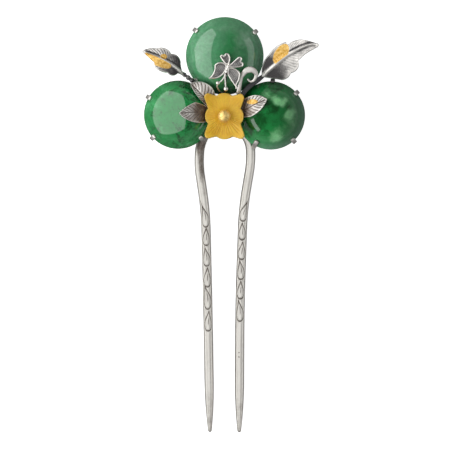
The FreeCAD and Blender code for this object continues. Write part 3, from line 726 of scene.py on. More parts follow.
def drop_relief(along, across, length, lean):
    """The relief and the depth of the grooves: a pillow inside the outline, a groove on it, a crease inside,
    the ground pressed down round it, and a tail where the tip leans."""
    middle = lean * (1 - ease(np.clip(along, 0, 1), -0.1, 0.6))
    offset = drop_distance(along, np.abs(across - middle), length)
    pillow = ease(-offset, 0.0, 0.5) * ease(along, 0.02, 0.2)
    window = ease(along, -0.04, 0.02) * ease(1.12 - along, 0.0, 0.05)
    edge = hump(offset, 0.15) * window
    ground = ease(0.7 - offset, 0.0, 0.6) * ease(offset, -0.05, 0.1) * window
    bend = middle + 0.1 + 0.3 * (0.6 - along)
    crease = hump(across - bend, 0.09) * ease(along, 0.22, 0.4) * ease(0.78 - along, 0.0, 0.2)
    run_on = lean * (1 - 2.6 * along)
    tail = 0.8 * hump(across - run_on, 0.13) * ease(along, -0.3, -0.22) * ease(0.06 - along, 0.0, 0.06)
    tail = tail * ease(abs(lean), 0.2, 0.6)
    grooves = np.maximum.reduce([edge, 0.9 * crease, tail])
    depth = np.clip(1.05 * grooves + 0.06 * ground, 0, 1)
    return 0.27 * pillow - 0.06 * ground - 0.13 * grooves, depth


relief, depth = drop_relief(np.array([0.5, 1.0]), np.zeros(2), 6.0, 0.0)
print("height inside a drop and on its outline:", relief.round(2).tolist())

# %% [markdown]
# Fine relief needs many points, but only where it is. So the rings of the rod lie close together at the
# drops, the pits and the points, and far apart elsewhere. The radius follows an arc towards each point.

# %% Rings and radius along the rod


def rod_line():
    """The middle line with its rings, and each ring's distance to the nearer point."""
    start, end = taper_start(LEFT_CORNERS), taper_start(RIGHT_CORNERS)
    corners = [start] + LEFT_CORNERS[-2::-1] + RIGHT_CORNERS[:-1] + [end]
    fine = evenly(np.concatenate([LEFT_CORNERS[-1:], rounded_line(corners), RIGHT_CORNERS[-1:]]), 6000)
    up = fine[:, 1]
    carved = (up < -25.5) & (up > -70.5) | (np.abs(up - np.mean(PITS)) < 1.4)
    spacing = np.where(carved, 0.125, np.where(up < -100.0, 0.06, 0.6))
    steps = np.append(0, np.cumsum((lengths(fine)[1] / spacing)[1:]))
    total = lengths(fine)[-1]
    along = np.interp(np.arange(0, steps[-1]), steps, lengths(fine))
    along[0], along[-1] = 0.0, total
    return at(fine, along), np.minimum(along, total - along)


def rod_radius(to_tip):
    """Full, then an arc that touches the full rod and narrows it, then a quarter circle at the point."""
    narrowing = ROD_RADIUS - TIP_RADIUS
    curve = (TAPER_LENGTH**2 + narrowing**2) / (2 * narrowing)
    into_taper = np.clip(TAPER_LENGTH + TIP_RADIUS - to_tip, 0, TAPER_LENGTH)
    radius = ROD_RADIUS - curve + np.sqrt(curve**2 - into_taper**2)
    into_tip = np.clip(TIP_RADIUS - to_tip, 0, TIP_RADIUS)
    round_end = np.sqrt(np.maximum(TIP_RADIUS**2 - into_tip**2, 1e-6))
    return np.minimum(radius, round_end + (to_tip > TIP_RADIUS) * 9)


print("rings along the rod:", len(rod_line()[0]))

# %% [markdown]
# Now the drops are laid along both tines, and the darkening is placed: the insides of the two bends are
# darkened, partly by soot and partly by a painted dark reflection, the left one more than the right, and
# the points have a little soot.

# %% Relief, soot and painted reflection along the rod


def chased_relief(line, across):
    """The relief and the grooves of all drops, for distances across from the front of the rod."""
    relief, groove = np.zeros_like(across), np.zeros_like(across)
    for side, drops in DROPS.items():
        on_side = (line[:, 0] < 0) if side == "left" else (line[:, 0] > 0)
        for begin, length, lean in drops:
            place = (begin - line[:, 1]) / length
            near = on_side & (place > -0.35) & (place < 1.2)
            local, depth = drop_relief(place[near][:, None], across[near], length, lean)
            relief[near] += local
            groove[near] = np.maximum(groove[near], depth)
    return relief, groove


def rod_soot_and_reflection(line, sideways):
    """Smooth steps along the hairpin, times smooth steps round the rod, for each bend: soot and a painted
    dark reflection.
    """
    left, up = line[:, :1] < 0, line[:, 1:2]
    shaded = np.where(left, ease(up, -30, -14), 0.6 * ease(up, -19, -8))
    reach = 0.55 * ease(up, -15, -9)
    inner = np.where(left, ease(sideways + reach, -0.45, 0.1), ease(-sideways, 0.2, 0.9))
    bends = 0.72 * shaded * inner * (1 - 0.4 * ease(sideways, 0.6, 0.95))
    return bends + 0.3 * ease(-up, 84, 98)


ROD_LINE, TO_TIP = rod_line()
print("most soot on the rod:", rod_soot_and_reflection(ROD_LINE, np.linspace(-1, 1, 9)).max().round(2))

# %% [markdown]
# The rod is a round section whose radius has the relief added to it. The angles round the section lie
# closer at the front, where the drops are. Both ends are closed, and the marks get the same end rows.

# %% The bent rod


def capped_marks(values):
    """Marks for a grid whose ends were capped: the end rows are repeated."""
    return np.concatenate([values[:1], values, values[-1:]])


def chased_rod(line, to_tip):
    """Across the hairpin a point lies at the radius times the sine of its angle from the front, and in
    height at the radius times its cosine."""
    share = np.linspace(-1, 1, 89)
    angle = math.pi * (0.62 * share + 0.38 * share**5)
    radius = rod_radius(to_tip)[:, None]
    across = radius * angle
    relief, groove = chased_relief(line, across)
    front = ease(2.25 - np.abs(across), 0.0, 0.4)
    pits = sum(hump(np.hypot(line[:, 1:2] - place, across + 0.2), 0.24) for place in PITS)
    groove = np.maximum(groove * front, pits * (line[:, :1] >= 0))
    forward = np.gradient(line, axis=0)
    forward /= np.linalg.norm(forward, axis=1, keepdims=True)
    side_way = np.column_stack([-forward[:, 1], forward[:, 0]])
    left_to_right = np.where(side_way[:, :1] < 0, -side_way, side_way)
    full = radius + relief * front
    flat = line[:, None] + left_to_right[:, None] * (full * np.sin(angle))[..., None]
    height = ROD_HEIGHT + full * np.cos(angle)
    points = np.concatenate([flat, height[..., None]], axis=2)
    points[:, -1] = points[:, 0]
    # Soot, and in the bends a painted dark reflection.
    soot = rod_soot_and_reflection(line, np.sin(angle))
    return sheet(capped(points), groove=capped_marks(groove), soot=capped_marks(soot), warm=0.9)


make_piece("forked_rod", [chased_rod(ROD_LINE, TO_TIP)], ROD_SILVER, "fork_frame", sharp=60)

# %% [markdown]
# Each stone stands on a shallow cup, which a maker would bend from a strip and solder to a ring. The cup
# has a light hole, and its stone rests on its wall. It is turned from one closed profile with small bevels,
# because a sharp edge would catch no light.

# %% Cups under the stones

STONES = {
    "top": {"middle": (0.1, 19.4), "radius": 12.5, "rise": 9.0},
    "left": {"middle": (-14.85, 0.55), "radius": 11.0, "rise": 8.0},
    "right": {"middle": (14.9, 0.3), "radius": 11.0, "rise": 8.0},
}
CUP_HEIGHT = 3.2
CUP_SHARE = 0.86
CUP_WALL = 1.1
CUP_FLOOR = 0.8
LIGHT_HOLE_SHARE = 0.42
BEVEL = 0.15


def softened(profile, size):
    """A closed profile whose corners are cut off by a short slope of this size."""
    p = np.asarray(profile, float)
    towards = np.roll(p, 1, axis=0) - p, np.roll(p, -1, axis=0) - p
    steps = [v / np.linalg.norm(v, axis=1, keepdims=True) * size for v in towards]
    cut = np.stack([p + steps[0], p + steps[1]], axis=1).reshape(-1, 2)
    return np.concatenate([cut, cut[:1]])


def cup(stone):
    """A ring with an inner ledge: the closed profile of wall, floor and hole, turned about the axis."""
    facts = STONES[stone]
    outer = facts["radius"] * CUP_SHARE
    inner = outer - CUP_WALL
    hole = facts["radius"] * LIGHT_HOLE_SHARE
    profile = [
        (hole, 0),
        (outer, 0),
        (outer, CUP_HEIGHT),
        (inner, CUP_HEIGHT),
        (inner, CUP_FLOOR),
        (hole, CUP_FLOOR),
    ]
    return turned(softened(profile, BEVEL), facts["middle"], 96, soot=0.35)

print("the top cup is", round(2 * 12.5 * CUP_SHARE, 1), "mm wide")

# %% [markdown]
# Behind the head sit the parts that nobody sees when the pin is worn: a round hub on the arch, a strut to
# each cup, and a boss that takes the blossom's rivet.

# %% Hub and struts

HUB_MIDDLE = (0.2, -2.1)
hub_profile = [(0, 0), (5.1 - BEVEL, 0), (5.1, BEVEL), (5.1, 2.4 - BEVEL), (5.1 - BEVEL, 2.4), (0, 2.4)]
boss_profile = [(0.65, 2.0), (3.3, 2.0), (3.3, 6.65 - BEVEL), (3.3 - BEVEL, 6.65), (0.65, 6.65), (0.65, 2.0)]


def strut(stone):
    """A flat bar from near the hub's middle to the wall of a stone's cup."""
    middle = np.asarray(STONES[stone]["middle"])
    reach = np.linalg.norm(middle) - STONES[stone]["radius"] * CUP_SHARE + CUP_WALL / 2
    way = middle / np.linalg.norm(middle)
    line = [(*(way * share * reach), 1.0) for share in (0.1, 0.55, 1.0)]
    return bar(line, 3.0, 2.0, power=0.35, count=12, around=32, round_end=0.1, soot=0.3)


back = [turned(hub_profile, HUB_MIDDLE, 80, soot=0.3), turned(boss_profile, (0, 0), 64, soot=0.9)]
back += [strut(stone) for stone in STONES]
make_piece("hub_and_struts", back, SETTING_SILVER, "fork_frame")

# %% [markdown]
# Flat claws rise from the cup past the stone's edge and are bent over its dome. The dome is part of a ball,
# so its height at the claw's tip is known. The table gives each claw's stone, its angle, how far it grips,
# and, for the one under the long leaf, its darkening, which is the leaf's shadow painted on it.

# %% Where the claws stand

SEAT_GAP = 0.05
GIRDLE = 1.0
CLAW_THICK = 0.6
CLAW_WIDE = 1.45
CLAWS = [
    ("top", 139, 0.95),
    ("top", 38, 0.95),
    ("top", -40, 0.95),
    ("top", -140, 0.95),
    ("left", 149.6, 0.95),
    ("left", -137.7, 0.95),
    ("left", -45.5, 1.1),
    ("left", 40, 0.95),
    # Its last value is painted shade: the long leaf's shadow on this claw.
    ("right", 87, 0.45, 1.1),
    ("right", 41.3, 0.95),
    ("right", -48.1, 0.95),
    ("right", -118.6, 1.8),
    ("right", 155, 0.95),
]


def dome(stone, radius):
    """The height of a stone's dome at a distance from its axis: a circle through its edge and its top."""
    facts = STONES[stone]
    rise = facts["rise"] - GIRDLE
    curve = (facts["radius"] ** 2 + rise**2) / (2 * rise)
    return CUP_HEIGHT + SEAT_GAP + facts["rise"] - curve + np.sqrt(curve**2 - np.square(radius))


print("claws:", len(CLAWS), "and the top stone is", round(float(dome("top", 0)), 2), "mm high")

# %% [markdown]
# Each claw is one bar whose line starts in the cup's wall and follows the stone. It is a little wider at its
# tip, as a claw gets when it is pressed down.

# %% Claws


def claw(stone, angle, grip, soot=0.02):
    """A flat bar from the cup's wall, out under the stone's edge, up past it and in over the dome."""
    facts = STONES[stone]
    edge = facts["radius"]
    over = 0.16 + CLAW_THICK / 2
    girdle_top = CUP_HEIGHT + SEAT_GAP + GIRDLE
    inside = edge * CUP_SHARE - CUP_WALL / 2
    half_way = edge - grip * 0.45
    tip = edge - grip
    rows = [
        (inside, 2.45),
        (edge - 0.45, 2.4),
        (edge + over - 0.05, 2.75),
        (edge + over, 3.4),
        (edge + over, girdle_top + 0.05),
        (half_way + over * 0.55, float(dome(stone, half_way)) + over * 0.9),
        (tip, float(dome(stone, tip)) + over * 0.95),
    ]
    turn = math.radians(angle)
    across = np.array([math.cos(turn), math.sin(turn)])
    line = [(*(np.asarray(facts["middle"]) + across * radius), height) for radius, height in rows]
    sideways = (-across[1], across[0], 0)
    widths = (0.62, 0.7, 0.72, 0.7, 0.68, 0.7, 0.78)
    return bar(line, widths, CLAW_WIDE, power=0.5, count=44, around=24, round_end=0.3, up=sideways, soot=soot)

for stone in STONES:
    claws = [claw(*row) for row in CLAWS if row[0] == stone]
    make_piece(f"setting_{stone}", [cup(stone)] + claws, SETTING_SILVER, "fork_frame")

# %% [markdown]
# No two stones are clouded alike, so each gets its own table of soft spots: across, up, size and strength,
# in millimetres from its middle. A positive strength places a deep or pale zone, a negative one clears it.

# %% Where the jade is deep or pale

SPOTS = {
    "top": {
        "deep": [(2.6, 4.8, 3.4, 0.75), (5.0, -2.0, 4.5, 0.45), (2.0, 1.5, 3.0, 0.5), (0.0, -11.0, 5.0, 0.6)],
        "pale": [(-7.5, 1.0, 4.5, 0.3), (8.5, 6.0, 4.0, 0.5), (9.5, -2.0, 3.2, 0.3), (-3.0, 10.0, 3.5, 0.25)],
    },
    "left": {
        "deep": [
            (3.0, 8.8, 2.6, 0.9),
            (-2.0, 6.8, 1.6, 0.5),
            (6.5, 6.0, 2.4, 0.8),
            (5.0, -4.5, 3.0, 0.8),
            (-6.8, -4.5, 1.6, 0.6),
            (8.5, 0.0, 3.0, 0.7),
            (1.5, -8.5, 2.6, 0.5),
            (-8.0, -0.5, 1.2, 0.4),
        ],
        "pale": [
            (-9.5, 2.0, 2.4, 0.7),
            (-5.0, 8.5, 2.5, 0.45),
            (3.5, -9.5, 2.5, 0.4),
            (-8.0, -7.0, 2.0, 0.35),
        ],
    },
    "right": {
        "deep": [
            (0.0, 0.0, 40.0, 0.12),
            (-3.5, -2.5, 3.2, 1.0),
            (-2.0, 4.0, 2.0, 0.7),
            (0.8, 1.6, 1.6, 0.7),
            (2.5, 8.6, 2.6, 0.6),
            (-8.5, -3.0, 2.6, 0.9),
            (-8.5, 6.0, 2.6, 0.8),
        ],
        "pale": [
            (0.0, 0.0, 40.0, -0.25),
            (1.8, 4.6, 1.6, 1.6),
            (3.6, 3.6, 1.1, 1.4),
            (-1.0, 6.6, 2.0, 0.9),
            (4.6, 4.9, 1.0, 1.1),
            (5.7, 0.2, 1.5, 1.6),
            (7.2, 1.6, 1.6, 0.6),
            (2.4, -5.0, 2.6, 0.85),
            (1.5, -8.0, 2.4, 0.75),
            (6.5, -3.0, 2.2, 0.55),
        ],
    },
}

print("spots:", {stone: len(zones["deep"]) + len(zones["pale"]) for stone, zones in SPOTS.items()})

# %% [markdown]
# The spots of a table are added up at every point of the stone. Two of the stones also have a painted
# reflection along their lower right edge: the pale sheet that the polish mirrors, painted into the colour.

# %% Soft spots and the painted reflection

PAINTED_REFLECTION = {"top": 0.5, "left": 0.0, "right": 1.0}


def spots(across, up, rows):
    """The sum of soft round spots, each a bell curve of the distance from its middle."""
    total = np.zeros_like(across)
    for x, y, size, strength in rows:
        total += strength * hump(np.hypot(across - x, up - y), size)
    return total


print("a spot at its own size is down to", spots(np.ones(1), np.zeros(1), [(0, 0, 1.0, 1.0)]).round(2)[0])

# %% [markdown]
# A round cabochon has a flat base, a short girdle that is a little wider at its top, and a dome. All three
# are one profile turned about the stone's axis, so the polish runs over the girdle without a seam.

# %% The three jade stones

GIRDLE_DRAFT = 0.25


def cabochon(stone, finish):
    """A stone: base, girdle and dome as one profile from the middle of its base to its top."""
    middle, edge = STONES[stone]["middle"], STONES[stone]["radius"]
    low = CUP_HEIGHT + SEAT_GAP
    foot = edge - GIRDLE_DRAFT
    base = np.column_stack([np.linspace(0, foot - 0.4, 12), np.full(12, low)])
    rim = [(foot - 0.2, low), (foot, low + 0.15), (edge - 0.04, low + GIRDLE - 0.15)]
    radii = (edge - 0.05) * np.sin(np.linspace(math.pi / 2, 0, 90))
    radii[-1] = 0
    upper = np.column_stack([radii, dome(stone, radii)])
    made = turned(np.concatenate([base, rim, upper]), middle, 160)
    across, up = (made["points"][..., axis] - middle[axis] for axis in (0, 1))
    made["marks"] = {zone: spots(across, up, rows) for zone, rows in SPOTS[stone].items()}
    # The painted reflection of the pale sheet, along the low right rim.
    low_right = ease(0.8 * across - 0.6 * up, -0.35 * edge, 0.6 * edge)
    made["marks"]["veil"] = PAINTED_REFLECTION[stone] * ease(np.hypot(across, up) / edge, 0.68, 1.0) * low_right
    return make_piece("stone_" + stone, [made], finish, "jade_" + stone)


cabochon("top", JADE_PALE)
cabochon("left", JADE_BRIGHT)
cabochon("right", JADE_DARK)

# %% [markdown]
# A leaf is two edges and a midrib between them. A point of the leaf has a place along it, the same share of
# all three lines, and a place across it, from the lower edge through the midrib to the upper edge. With
# these two numbers, veins and patches of gold leaf can be drawn on any leaf, however it is bent.

# %% Places, veins and gold on a leaf


def leaf_grid(upper, lower, midrib, rows, half_columns=34):
    """Along the leaf u runs from 0 to 1, across it v from -1 to 1. A place is the midrib's point plus the
    size of v times the way to the edge. Gives u, v, the places and the breadth of each half."""
    u = np.linspace(0, 1, rows)[:, None]
    v = np.linspace(-1, 1, 2 * half_columns + 1)
    v = np.sign(v) * np.abs(v) ** 0.9
    top_edge, low_edge = evenly(drawn(upper), rows), evenly(drawn(lower), rows)
    spine = evenly(smooth_line(midrib, 400), rows)
    half = np.where((v >= 0)[None, :, None], (top_edge - spine)[:, None], (low_edge - spine)[:, None])
    return u, v, spine[:, None] + half * np.abs(v)[:, None], np.linalg.norm(half, axis=2)


def leaf_veins(u, v, count):
    """Waves of u less a share of the size of v, so that they slant towards the tip on both sides: their
    crests, the hollows between them, and a finer hatching."""
    slant = u - 0.22 * np.abs(v)
    wave = np.cos(2 * math.pi * count * slant)
    hatch = np.cos(2 * math.pi * count * 2.6 * slant + 5 * np.sin(7 * np.abs(v) + 9 * u)) ** 2
    return np.clip(wave, 0, 1) ** 2, np.clip(-wave, 0, 1) ** 3, hatch


def gold_patches(flat, v, rows):
    """Soft-edged ovals on one side of the midrib: x, y, half length, half breadth, angle and side."""
    gold = np.zeros(flat.shape[:2])
    for x, y, long, short, angle, side in rows:
        c, s = math.cos(math.radians(angle)), math.sin(math.radians(angle))
        dx, dy = flat[..., 0] - x, flat[..., 1] - y
        reach = np.hypot((dx * c + dy * s) / long, (dy * c - dx * s) / short)
        gold = np.maximum(gold, ease(1.12 - reach, 0.0, 0.24) * (side * v > 0.03))
    return gold


print("crest and hollow of a vein:", [round(float(w), 2) for w in leaf_veins(0.5, 0.3, 16)[:2]])

# %% [markdown]
# The blade is a thin plate, bent up and down along its length, slightly domed across, thinner at its edge.
# Its midrib stands proud or is drawn in, and its rim is raised. The height and the marks for soot come from
# the same formulas, so the dark lines lie exactly in the hollows.

# %% Midrib and rim of a leaf


def folded(top_values, low_value):
    """Marks for the closed grid of a blade: its top, its underside with one value, and the seam."""
    rest = np.full_like(top_values, low_value)
    return capped_marks(np.concatenate([top_values, rest, top_values[:, :1]], axis=1))


def leaf_lines(u, v, breadth, rib_width):
    """Humps of the distance in millimetres: on the midrib, beside it and at the edge. The midrib gets
    narrower towards the tip. The distance to the edge is given as well."""
    distance = np.abs(v) * breadth
    width = rib_width * (1 - 0.55 * u)
    line = hump(distance, width) * ease(1 - u, 0.0, 0.1)
    beside = hump(distance - width - 0.3, 0.28) * ease(1 - u, 0.0, 0.15) * np.where(v > 0, 1.0, 0.45)
    to_edge = (1 - np.abs(v)) * breadth
    return line, beside, hump(to_edge - 0.12, 0.2), to_edge


print("a blade of 3 by 5 places is closed to", folded(np.zeros((3, 5)), 0.4).shape)

# %% [markdown]
# With the lines known, the blade itself is a sum: the bent plate, the domed or dished cross section, the
# rib, the rim and the veins. The top and the underside are joined to one closed sheet.

# %% A leaf blade


def leaf(
    upper,
    lower,
    midrib,
    start,
    end,
    heights,
    veins,
    rib,
    rim,
    camber,
    soot,
    gilded=(),
    rib_width=0.3,
    chased=0.7,
    rows=150,
):
    """The height is the bent plate's, read at the share of the way from start to end, plus camber times one
    minus v squared, a rib or groove at the midrib, a raised rim at the edges, and the veins."""
    u, v, flat, breadth = leaf_grid(upper, lower, midrib, rows)
    run = np.subtract(end, start)
    share = ((flat - start) @ run) / (run @ run)
    profile = smooth_line(heights, 200)
    under = np.interp(share, profile[:, 0], profile[:, 1])
    crest, hollow, hatch = leaf_veins(u, v, veins)
    inside = ease(1 - np.abs(v), 0.04, 0.2) * ease(np.abs(v), 0.06, 0.2)
    fade = ease(u, 0.02, 0.12) * ease(1 - u, 0.0, 0.08)
    line, beside, lip, to_edge = leaf_lines(u, v, breadth, rib_width)
    domed = camber * (1 - v**2) * fade
    gold = gold_patches(flat, v, gilded)
    relief = rib * line + rim * lip + domed - (0.08 * chased * hollow + 0.035 * hatch) * inside * fade
    relief = relief + 0.03 * crest * inside + gold * (0.05 + 0.05 * hollow * inside * fade)
    top = under + 0.5 - 0.28 * hump(to_edge, 0.16) + relief
    drawn_lines = (chased * hollow + 0.5 * hatch) * inside * fade
    groove = np.clip(drawn_lines + (line if rib < 0 else 0.9 * beside), 0, 1) * (1 - gold)
    # Painted shade: darker towards the leaf's base, and less on the raised rim and on a proud midrib.
    dark = (soot[0] * (1 - ease(u, *soot[1:])) + np.zeros_like(share)) * (1 - 0.75 * lip)
    dark = dark * (1 - (0.95 * line if rib > 0 else 0.0))
    above = np.concatenate([flat, top[..., None]], axis=2)
    below = np.concatenate([flat, (under + 0.5 * domed)[..., None]], axis=2)
    points = np.concatenate([above, below[:, ::-1], above[:, :1]], axis=1)
    marks = {"groove": folded(groove, 0.0), "soot": folded(dark, 0.4), "gilded": folded(gold, 0.0)}
    return sheet(capped(points), warm=1.0 if rib < 0 else 0.1, **marks)


print("a blade is 0.5 mm thick before its relief, and", round(0.5 - 0.28, 2), "mm at its edge")

# %% [markdown]
# The long right leaf points up and outwards. Shade is painted near its stem, so it is dark there and bright
# towards its tip, with one patch of gold leaf above its proud midrib. Its stem runs down between the stones
# to the hub.

# %% The long right leaf

RIGHT_SPRAY = leaf(
    upper=[
        (12.0, 13.1, 12.6, 17.4),
        (14.3, 19.8, 16.6, 22.3),
        (19.7, 23.8),
        (20.2, 22.9, 21.9, 24.0),
        (24.4, 24.6, 27.2, 24.1),
        (29.5, 23.35, 30.05, 23.2),
        (30.2, 22.85),
    ],
    lower=[
        (12.0, 12.6),
        (18.4, 11.6, 20.6, 12.6),
        (21.3, 13.8, 23.8, 16.0),
        (23.7, 17.8),
        (25.0, 19.1, 26.7, 20.35),
        (28.4, 21.3),
        (29.6, 22.0, 30.1, 22.35),
        (30.2, 22.85),
    ],
    midrib=[(12.0, 12.8), (14.6, 15.1), (19.4, 19.0), (24.2, 21.8), (27.6, 23.0), (30.2, 22.85)],
    start=(12.0, 12.7),
    end=(30.2, 22.9),
    heights=[(-0.1, 6.6), (0.0, 6.8), (0.3, 7.9), (0.6, 8.3), (1.0, 7.3), (1.1, 6.9)],
    veins=22,
    rib_width=0.75,
    rib=0.42,
    rim=0.06,
    camber=0.25,
    soot=(1.1, 0.15, 0.6),
    chased=0.42,
    gilded=[(18.1, 19.9, 3.6, 2.0, 58, 1)],
    rows=340,
)
RIGHT_STEM = bar(
    [(1.75, 0.55, 7.05), (4.6, 5.1, 7.05), (7.35, 8.95, 7.05), (12.0, 12.6, 7.1), (14.6, 15.1, 7.7)],
    (0.95, 1.3, 1.7, 1.6, 0.5),
    0.66,
    power=0.6,
    count=60,
    soot=1.1,
)
make_piece("leaf_right", [RIGHT_SPRAY, RIGHT_STEM], LEAF_SILVER, "leaf_spray_right")

# %% [markdown]
# The long left leaf is narrower and folded along its midrib, with gold leaf on its lower half. Its stem is
# knotted where it was wound with wire, which a few black beads give.

# %% The long left leaf

LEFT_SPRAY = leaf(
    upper=[
        (-12.7, 14.0),
        (-13.6, 14.5),
        (-14.0, 16.7, -15.2, 19.5),
        (-17.0, 20.0, -19.3, 21.9),
        (-21.7, 21.7, -24.0, 21.8),
        (-26.4, 20.9),
    ],
    lower=[
        (-12.7, 12.3, -13.9, 13.3),
        (-15.0, 13.7, -16.9, 13.0),
        (-18.2, 13.9, -20.6, 14.4),
        (-22.3, 15.7),
        (-22.5, 17.2, -24.5, 19.0),
        (-26.4, 20.9),
    ],
    midrib=[(-12.7, 13.3), (-15.6, 15.7), (-18.4, 17.5), (-21.9, 19.2), (-26.4, 20.9)],
    start=(-13.2, 13.6),
    end=(-26.4, 20.9),
    heights=[(-0.1, 6.6), (0.0, 6.8), (0.3, 7.7), (0.6, 8.0), (1.0, 7.0), (1.1, 6.7)],
    veins=16,
    rib_width=0.6,
    rib=0.4,
    rim=0.05,
    camber=0.25,
    soot=(1.05, 0.1, 0.85),
    gilded=[(-21.3, 17.9, 4.7, 1.75, -27, -1), (-19.4, 19.1, 1.1, 0.85, 0, 1)],
    rows=300,
)
LEFT_STEM = bar(
    [(-1.6, 1.3, 7.05), (-4.7, 4.7, 7.05), (-7.8, 9.3, 7.05), (-10.3, 11.4, 7.05), (-14.4, 14.6, 7.6)],
    (1.2, 1.2, 1.2, 1.2, 0.4),
    0.66,
    power=0.6,
    count=60,
    soot=1.0,
)
KNOTS = [(-10.4, 11.5, 0.75), (-11.6, 12.4, 0.78), (-12.8, 13.3, 0.7), (-9.3, 10.6, 0.55)]
knots = [bead((x, y, 7.05), size, 0.9, soot=0.8) for x, y, size in KNOTS]
make_piece("leaf_left", [LEFT_SPRAY, LEFT_STEM] + knots, LEAF_SILVER, "leaf_spray_left")

# %% [markdown]
# Three small leaves lie round the blossom. Their midribs are drawn in as grooves instead of standing proud,
# and their rims are bright and raised, so the same blade gets other values. The first points up and left.

# %% The upper small leaf

SMALL = {"rib": -0.16, "rim": 0.2, "camber": -0.12, "chased": 1.1, "rows": 160}
UPPER_SMALL_LEAF = leaf(
    upper=[(-2.4, 2.6), (-2.9, 6.8, -3.3, 8.3), (-3.9, 9.3, -7.3, 11.1), (-10.9, 10.5)],
    lower=[(-3.4, 1.8, -8.4, 6.0), (-10.9, 10.5)],
    midrib=[(-2.9, 2.6), (-6.7, 6.4), (-8.6, 8.4), (-10.9, 10.5)],
    start=(-2.6, 2.4),
    end=(-10.9, 10.5),
    heights=[(-0.1, 7.5), (0.1, 7.55), (0.4, 8.2), (0.7, 8.6), (1.1, 8.5)],
    veins=10,
    soot=(0.85, 0.0, 1.05),
    **SMALL,
)
print("places in the upper small leaf:", UPPER_SMALL_LEAF["points"].shape[:2])

# %% [markdown]
# The second lies over the left stone and climbs its dome. The blossom's shade is painted on it, so it is
# dark at its base.

# %% The left small leaf

LEFT_SMALL_LEAF = leaf(
    upper=[(-3.0, 1.4, -6.4, 3.6), (-9.3, 4.5, -12.3, 2.9), (-14.5, 0.9)],
    lower=[(-3.0, -0.6, -8.6, -2.1), (-14.5, 0.9)],
    midrib=[(-3.0, 0.8), (-6.7, 1.3), (-9.7, 1.25), (-14.5, 0.9)],
    start=(-3.4, 0.8),
    end=(-14.5, 0.8),
    heights=[(-0.1, 7.5), (0.05, 7.51), (0.2, 7.75), (0.43, 9.6), (0.68, 10.95), (1.05, 11.7)],
    veins=11,
    soot=(0.95, 0.2, 1.15),
    **SMALL,
)
print("places in the left small leaf:", LEFT_SMALL_LEAF["points"].shape[:2])

# %% [markdown]
# The third lies over the right stone, with a little gold leaf above its midrib. All three grow from one
# round plate, which is held by the rivet behind the blossom.

# %% The right small leaf and the plate

RIGHT_SMALL_LEAF = leaf(
    upper=[(2.9, 2.0, 4.7, 4.5), (7.2, 6.1, 10.2, 6.8), (13.7, 5.4)],
    lower=[(3.0, 0.5, 5.8, -0.3), (8.4, -0.2, 11.5, 1.9), (13.7, 5.4)],
    midrib=[(2.95, 1.2), (6.8, 2.3), (10.0, 3.9), (13.7, 5.4)],
    start=(3.3, 0.0),
    end=(13.7, 0.0),
    heights=[(-0.1, 7.5), (0.05, 7.51), (0.25, 7.9), (0.49, 9.75), (0.7, 10.75), (1.05, 11.15)],
    veins=10,
    soot=(0.85, 0.22, 0.88),
    gilded=[(8.9, 4.6, 1.8, 0.8, 2, 1)],
    **SMALL,
)
plate_profile = [(0.65, 7.45), (3.4, 7.45), (3.4, 8.0), (3.3, 8.05), (0.65, 8.05), (0.65, 7.45)]
plate = turned(plate_profile, (0, 0), 64, soot=0.8)
small_leaves = [UPPER_SMALL_LEAF, LEFT_SMALL_LEAF, RIGHT_SMALL_LEAF, plate]
make_piece("small_leaves", small_leaves, LEAF_SILVER, "leaf_rosette")

# %% [markdown]
# The curled band is a flat strip that widens over the top of its curl and narrows to a point inside it.
# It is a rounded section whose width changes along one smooth line, tilted to follow the top stone.

# %% The curled band

BAND_ROWS = [
    (4.55, 6.9, 1.6),
    (4.7, 8.6, 1.4),
    (5.15, 10.7, 1.05),
    (5.75, 12.9, 1.0),
    (6.95, 14.55, 1.75),
    (8.85, 14.8, 2.1),
    (10.15, 13.4, 1.65),
    (9.5, 11.6, 1.15),
    (8.3, 11.1, 0.8),
    (7.3, 12.0, 0.5),
]
BAND_BASE = 8.0
BAND_SLOPE = 0.35
BAND_THICK = 0.85


def band_height(along):
    """The middle of the band's thickness at a place along the hairpin."""
    return BAND_BASE + BAND_SLOPE * (along - 7.4) + BAND_THICK / 2


rows = np.array(BAND_ROWS)
path = np.column_stack([rows[:, 0], rows[:, 1], band_height(rows[:, 1])])
thick = (0.8, 0.85, 0.85, 0.85, 0.85, 0.6)
curl = bar(path, rows[:, 2], thick, power=0.7, count=150, around=36, round_end=0.35)
tail_path = [(4.65, 8.6, 8.6), (4.1, 6.4, 7.6), (2.9, 4.6, 7.08), (1.0, 2.0, 7.05)]
tail = bar(tail_path, 0.7, 0.7, count=40, soot=0.8)
make_piece("curled_band", [curl, tail], BAND_SILVER, "tendril", sharp=50)

# %% [markdown]
# Each wing cell of the butterfly is a small tray: a bright wire rim round a sunk, blackened floor that is
# scored with fine lines. A maker bends the wire and solders it to a plate. Here the tray is one sheet that
# starts under the middle, goes out to the outline, up and over the rim and back in across the floor.

# %% Wing outlines

